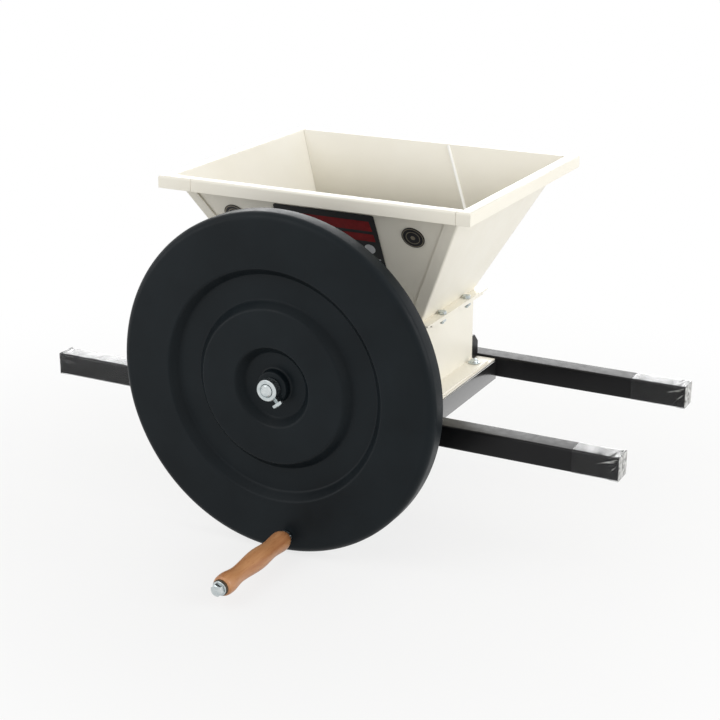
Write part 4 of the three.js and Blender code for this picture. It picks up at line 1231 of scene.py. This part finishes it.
# %% [markdown]
# The crank grip
#
# The grip is turned between centres: full at the root, drawn in, swelling for the palm, drawn in
# again and closed by a bead at the end. A smooth curve through eight radii gives it, by the
# Catmull-Rom formula, whose tangent at a point is half the step between its neighbours. A Bezier
# curve and a Screw could give the same form, with its radii hidden in handles.

# %% Turn the grip
grip_low, grip_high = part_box("grip")
grip_x, grip_z = (grip_low.x + grip_high.x) / 2, (grip_low.z + grip_high.z) / 2
grip_length = grip_high.y - grip_low.y
grip_bore = 0.0053
grip_radii = [(0.0102, 0.0), (0.0132, 0.07), (0.0117, 0.24), (0.0136, 0.46), (0.0108, 0.74), (0.0134, 0.90),
              (0.0129, 0.975), (0.0106, 1.0)]


def smooth_curve(points, steps=14):
    """A Catmull-Rom curve, for each span from p1 to p2: p(t) = p1 + (t (p2 - p0) +
    t^2 (2 p0 - 5 p1 + 4 p2 - p3) + t^3 (3 p1 - p0 - 3 p2 + p3)) / 2."""
    p = np.asarray(points, float)
    p = np.vstack([2 * p[0] - p[1], p, 2 * p[-1] - p[-2]])
    t = np.linspace(0, 1, steps, endpoint=False)[None, :, None]
    p0, p1, p2, p3 = (p[i:len(p) - 3 + i, None, :] for i in range(4))
    square, cube = 2 * p0 - 5 * p1 + 4 * p2 - p3, 3 * p1 - p0 - 3 * p2 + p3
    spans = p1 + 0.5 * t * ((p2 - p0) + t * (square + t * cube))
    return np.vstack([spans.reshape(-1, p.shape[1]), p[-2:-1]])


grip_curve = smooth_curve([(r, grip_high.y - share * grip_length) for r, share in grip_radii])
grip_curve[:, 1] = np.clip(grip_curve[:, 1], grip_low.y, grip_high.y)
grip_profile = np.vstack([[[grip_bore, grip_high.y]], grip_curve, [[grip_bore, grip_low.y]]])
piece("turned_grip", turned(grip_profile, grip_x, grip_z), beech.material, "grip", ["grip"],
      sharp=50)

# %% [markdown]
# A bolt runs through the grip and holds it against two nuts, one on either face of the wheel.
# Under its head lie a bright washer and a wider one in a dark olive brown. The bright and the
# dark one are one stepped ring in the frame, so here they are two pieces for the same solid.

# %% Crank bolt and nuts
toward = (0, -1, 0)
m10_radius, m10_flats, m10_head, m10_pitch, m10_bore = 0.005, 0.016, 0.007, 0.0015, 0.0053
head_flats, head_turn = 0.0142, (1, 0, 0.25)
bolt_low, bolt_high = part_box("crank_bolt")
head_y = bolt_low.y + m10_head
crank_head = joined(
    placed(hexagon(head_flats, m10_head), (grip_x, head_y, grip_z), toward, head_turn),
    placed(threaded(m10_radius, bolt_high.y - head_y, m10_pitch), (grip_x, bolt_high.y, grip_z), toward),
)
piece("crank_bolt_fine", crank_head, zinc.material, "rotor", ["crank_bolt"])
for name in ("crank_nut", "crank_lock_nut"):
    low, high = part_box(name)
    nut = placed(hexagon(m10_flats, high.y - low.y, m10_bore, True), (grip_x, high.y, grip_z), toward)
    piece(f"{name}_fine", nut, zinc.material, "rotor", [name])

# %% Washers under the crank bolt's head
bright_radius, bright_thickness, dark_radius = 0.0094, 0.0016, 0.0104
low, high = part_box("grip_washer")
dark = washer(dark_radius, m10_bore, high.y - low.y - bright_thickness)
piece("grip_washer_dark", placed(dark, (grip_x, high.y, grip_z), toward), dark_olive_washer.material,
      "rotor", ["grip_washer"])
bright = washer(bright_radius, m10_bore, bright_thickness)
piece("grip_washer_bright", placed(bright, (grip_x, low.y + bright_thickness, grip_z), toward), zinc.material,
      "rotor")

# %% [markdown]
# Bearings
#
# A bearing housing is an oval flange with a boss, cast in one and bored. The boss runs into the
# flange through a small fillet. The outline is two small arcs at the bolt ends and two large ones
# round the boss, joined by their common tangents. Three joined cylinders would have no tangents.

# %% Section and outline of a bearing
flange_thickness, flange_ease = 0.006, 0.0012
boss_radius, boss_waist, ear_radius, bolt_reach = 0.021, 0.025, 0.013, 0.038
boss_fillet, boss_ease, boss_land = 0.003, 0.001, 0.006
race_ease = 0.0005
print(f"bearing bolts {2000 * bolt_reach:.0f} mm apart")


def oval_outline(offset):
    """The flange seen along the shaft, drawn in by an offset."""
    tangent = math.degrees(math.acos((boss_waist - ear_radius) / bolt_reach))
    return np.vstack([
        arc((bolt_reach, 0), ear_radius - offset, -tangent, tangent, 16),
        arc((0, 0), boss_waist - offset, tangent, 180 - tangent, 12),
        arc((-bolt_reach, 0), ear_radius - offset, 180 - tangent, 180 + tangent, 16),
        arc((0, 0), boss_waist - offset, 180 + tangent, 360 - tangent, 12),
    ])


def oval_flange(seat, way):
    """The flange from its seat outwards, with its outer edge eased in two steps."""
    middle = flange_ease / 3
    levels = [(0.0, 0.0), (0.0, flange_thickness - flange_ease), (middle, flange_thickness - middle),
              (flange_ease, flange_thickness)]
    outlines = [oval_outline(offset) for offset, _ in levels]
    return loft([np.column_stack([line[:, 0], np.full(len(line), seat + way * h), axis_z + line[:, 1]])
                 for line, (_, h) in zip(outlines, levels)])


def boss_section(seat, face, way):
    """The boss from its root inside the flange, up its fillet and over its eased face, to the bore."""
    root = seat + way * flange_thickness / 2
    land = boss_radius - boss_land
    wide = boss_radius + boss_fillet
    sunk = face - way * boss_ease
    return np.vstack([
        [[bore_radius, root], [wide, root]],
        arc((wide, seat + way * (flange_thickness + boss_fillet)), boss_fillet, -90 * way, -180 * way, 6),
        [[boss_radius, sunk], [boss_radius - boss_ease, face], [land, face], [land - boss_ease, sunk],
         [bore_radius + race_ease, sunk], [bore_radius, sunk - way * race_ease]],
    ])


# %% Cast the bearings
for end, way in (("front", -1), ("rear", 1)):
    low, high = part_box(f"bearing_{end}")
    seat, face = (high.y, low.y) if way < 0 else (low.y, high.y)
    part = joined(oval_flange(seat, way), turned(boss_section(seat, face, way), 0, axis_z))
    piece(f"bearing_{end}_casting", part, casting.material, "frame", [f"bearing_{end}"])

# %% [markdown]
# The drum
#
# The drum is a turned bar of white nylon with a slot milled for each blade. Its section in polar
# form is a circle that drops to the slot's floor within the slot's width. A slot has a point at
# each of its four corners, so that they stay square. A Boolean for each slot would do too, but it
# leaves long thin faces. The blades keep their solids.

# %% Mill the drum
drum_low, drum_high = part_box("drum")
drum_radius = 0.045
slot_half, slot_floor = 0.0013, 0.0337
blade_count = 6


def drum_outline():
    """The drum's section: between slots an arc, and at each slot two corners down and two up."""
    half = math.asin(slot_half / drum_radius)
    floor_half, floor_r = math.atan2(slot_half, slot_floor), math.hypot(slot_floor, slot_half)
    line = []
    for k in range(blade_count):
        at = 2 * math.pi * k / blade_count
        line.append(np.array([[drum_radius, at - half], [floor_r, at - floor_half],
                              [floor_r, at + floor_half], [drum_radius, at + half]]))
        between = np.linspace(at + half, at + 2 * math.pi / blade_count - half, 26)[1:-1]
        line.append(np.column_stack([np.full(len(between), drum_radius), between]))
    r, a = np.vstack(line).T
    return np.column_stack([r * np.cos(a), r * np.sin(a)])


section = drum_outline()
bore = bore_radius * section / np.linalg.norm(section, axis=1, keepdims=True)
outer, inner = ([np.column_stack([line[:, 0], np.full(len(line), y), axis_z + line[:, 1]])
                 for y in (drum_low.y, drum_high.y)] for line in (section, bore))
piece("drum_bar", hollow_loft(outer, inner), nylon.material, "rotor", ["drum"])

# %% [markdown]
# Label and badges
#
# The front carries a printed plate and a round badge on either side. The print is a generic one:
# two red bands that cross the plate at a slant, a pale line and three plain discs. A mask in the
# material could draw it, but thin raised shapes on the plate's face stay crisp from any distance.

# %% Place flat shapes on the front wall
label_low, label_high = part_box("label_plate")
lean = math.atan(slope_y)
label_centre_x = (label_low.x + label_high.x) / 2
label_half_w = (label_high.x - label_low.x) / 2
label_z = (label_low.z + label_high.z) / 2
plate_thickness = 0.001
label_half_h = ((label_high.z - label_low.z) - plate_thickness * math.sin(lean)) / 2 / math.cos(lean)
print(f"the front wall leans by {math.degrees(lean):.1f} degrees")


def on_front(outline, x, z, base, thickness):
    """A flat outline of (across, up) set on the front wall at (x, z): up follows the wall's lean, and
    the shape stands off the wall from base to base + thickness."""
    across, rise = np.asarray(outline, float).T
    face_y = hopper_y - inner_y(z) - wall_y
    rings = []
    for out in (base, base + thickness):
        rings.append(np.column_stack([
            x + across,
            face_y - rise * math.sin(lean) - out * math.cos(lean),
            z + rise * math.cos(lean) - out * math.sin(lean),
        ]))
    return loft(rings)


def disc(radius, x=0.0, y=0.0, sides=64):
    """A round outline."""
    return arc((x, y), radius, 0, 360, sides)[:-1]


# %% Print the label
stand_off, ink = 0.0003, 0.00012
print_base = stand_off + plate_thickness
label_corner = 0.003
label_shape = rounded_rectangle(label_half_w, label_half_h, label_corner)
plate_part = on_front(label_shape, label_centre_x, label_z, stand_off, plate_thickness)
piece("label_panel", plate_part, label_black.material, "frame", ["label_plate"])

bands = [[(-0.050, 0.036), (0.064, 0.036), (0.066, 0.020), (-0.030, 0.020)],
         [(-0.020, 0.015), (0.066, 0.015), (0.067, 0.003), (0.004, 0.003)]]
red_part = joined(*[on_front(band, label_centre_x, label_z, print_base, ink) for band in bands])
piece("label_red_bands", red_part, print_red.material, "frame")
disc_radius, disc_pitch, disc_at = 0.0075, 0.021, (0.056, -0.010)
pale = [disc(disc_radius, disc_at[0] - disc_pitch * k, disc_at[1]) for k in range(3)]
pale.append([(-0.060, -0.026), (0.068, -0.026), (0.068, -0.0275), (-0.060, -0.0275)])
pale_part = joined(*[on_front(shape, label_centre_x, label_z, print_base, ink) for shape in pale])
piece("label_pale_marks", pale_part, print_pale.material, "frame")

# %% Print the badges
badge_rings, badge_disc = ((0.93, 0.86), (0.62, 0.56)), 0.2


def flat_ring(outer, inner, x, z, base, thickness):
    """A ring on the front wall, between two circles."""
    wide = on_front(disc(outer), x, z, base, thickness)[0].reshape(2, -1, 3)
    hole = on_front(disc(inner), x, z, base, thickness)[0].reshape(2, -1, 3)
    return hollow_loft(wide, hole)


for side in ("left", "right"):
    low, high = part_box(f"round_badge_{side}")
    x, z = (low.x + high.x) / 2, (low.z + high.z) / 2
    radius = (high.x - low.x) / 2
    badge = on_front(disc(radius), x, z, stand_off, plate_thickness)
    piece(f"badge_{side}_disc", badge, label_black.material, "frame", [f"round_badge_{side}"])
    marks = [flat_ring(radius * wide, radius * hole, x, z, print_base, ink) for wide, hole in badge_rings]
    marks.append(on_front(disc(radius * badge_disc), x, z, print_base, ink))
    piece(f"badge_{side}_rings", joined(*marks), print_bronze.material, "frame")

# %% [markdown]
# The floor
#
# The flywheel hangs below the rails, so the mill is shown just above a pale floor that its wheel
# almost touches. Near the mill the floor is partly matt and takes its shadow. Away from it the
# floor passes into plain white for the eye, so that no edge or horizon shows. A curved backdrop
# would do the same with more light.

# %% Size of the floor
floor_drop = 0.0015
floor_half = 6.0
shadow_reach = (0.40, 1.05)
shadow_thinning = 0.76
floor_z = cad_low.z - floor_drop
shadow_centre = (0.0, 0.05, floor_z)
floor_mesh = bpy.data.meshes.new("floor")
corners = np.array([(-1, -1, 0), (1, -1, 0), (1, 1, 0), (-1, 1, 0)]) * floor_half + (0, 0, floor_z)
floor_mesh.from_pydata(corners.tolist(), [], [(0, 1, 2, 3)])
floor = bpy.data.objects.new("floor", floor_mesh)
scene.collection.objects.link(floor)
print(f"floor at {floor_z:.4f} m")

# %% Lay the floor


def fading_floor():
    """A matt white under a veil of plain white, which grows to whole between two distances from the mill."""
    finish = Finish("pale_floor", Roughness=0.9, Specular_IOR_Level=0.1)
    finish.shader.inputs["Base Color"].default_value = linear(224, 224, 222)
    nodes, links = finish.nodes, finish.links
    distance = nodes.new("ShaderNodeVectorMath")
    distance.operation = "DISTANCE"
    links.new(finish.coordinates, distance.inputs[0])
    distance.inputs[1].default_value = shadow_centre
    fade = nodes.new("ShaderNodeMapRange")
    fade.interpolation_type = "SMOOTHSTEP"
    fade.inputs["From Min"].default_value, fade.inputs["From Max"].default_value = shadow_reach
    fade.inputs["To Min"].default_value = shadow_thinning
    links.new(distance.outputs["Value"], fade.inputs["Value"])
    only_seen = nodes.new("ShaderNodeMath")
    only_seen.operation = "MULTIPLY"
    links.new(fade.outputs["Result"], only_seen.inputs[0])
    links.new(seen_or_mirrored(nodes, links), only_seen.inputs[1])
    white = nodes.new("ShaderNodeEmission")
    mix = nodes.new("ShaderNodeMixShader")
    links.new(only_seen.outputs[0], mix.inputs["Fac"])
    links.new(finish.shader.outputs[0], mix.inputs[1])
    links.new(white.outputs[0], mix.inputs[2])
    links.new(mix.outputs[0], nodes["Material Output"].inputs["Surface"])
    return finish.material


floor_mesh.materials.append(fading_floor())
floor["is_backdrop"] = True
print("shadow fades between", shadow_reach, "m")

# %% [markdown]
# Measure and finish
#
# The dressed model's box is measured against the frame's, and how far it grew on each side is printed.
# The dressed model has to keep the frame's box.

# %% Compare the boxes
low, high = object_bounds()
grown = (cad_low - low, high - cad_high)
print("box grew by", [[round(1000 * v, 1) for v in side] for side in grown], "mm")
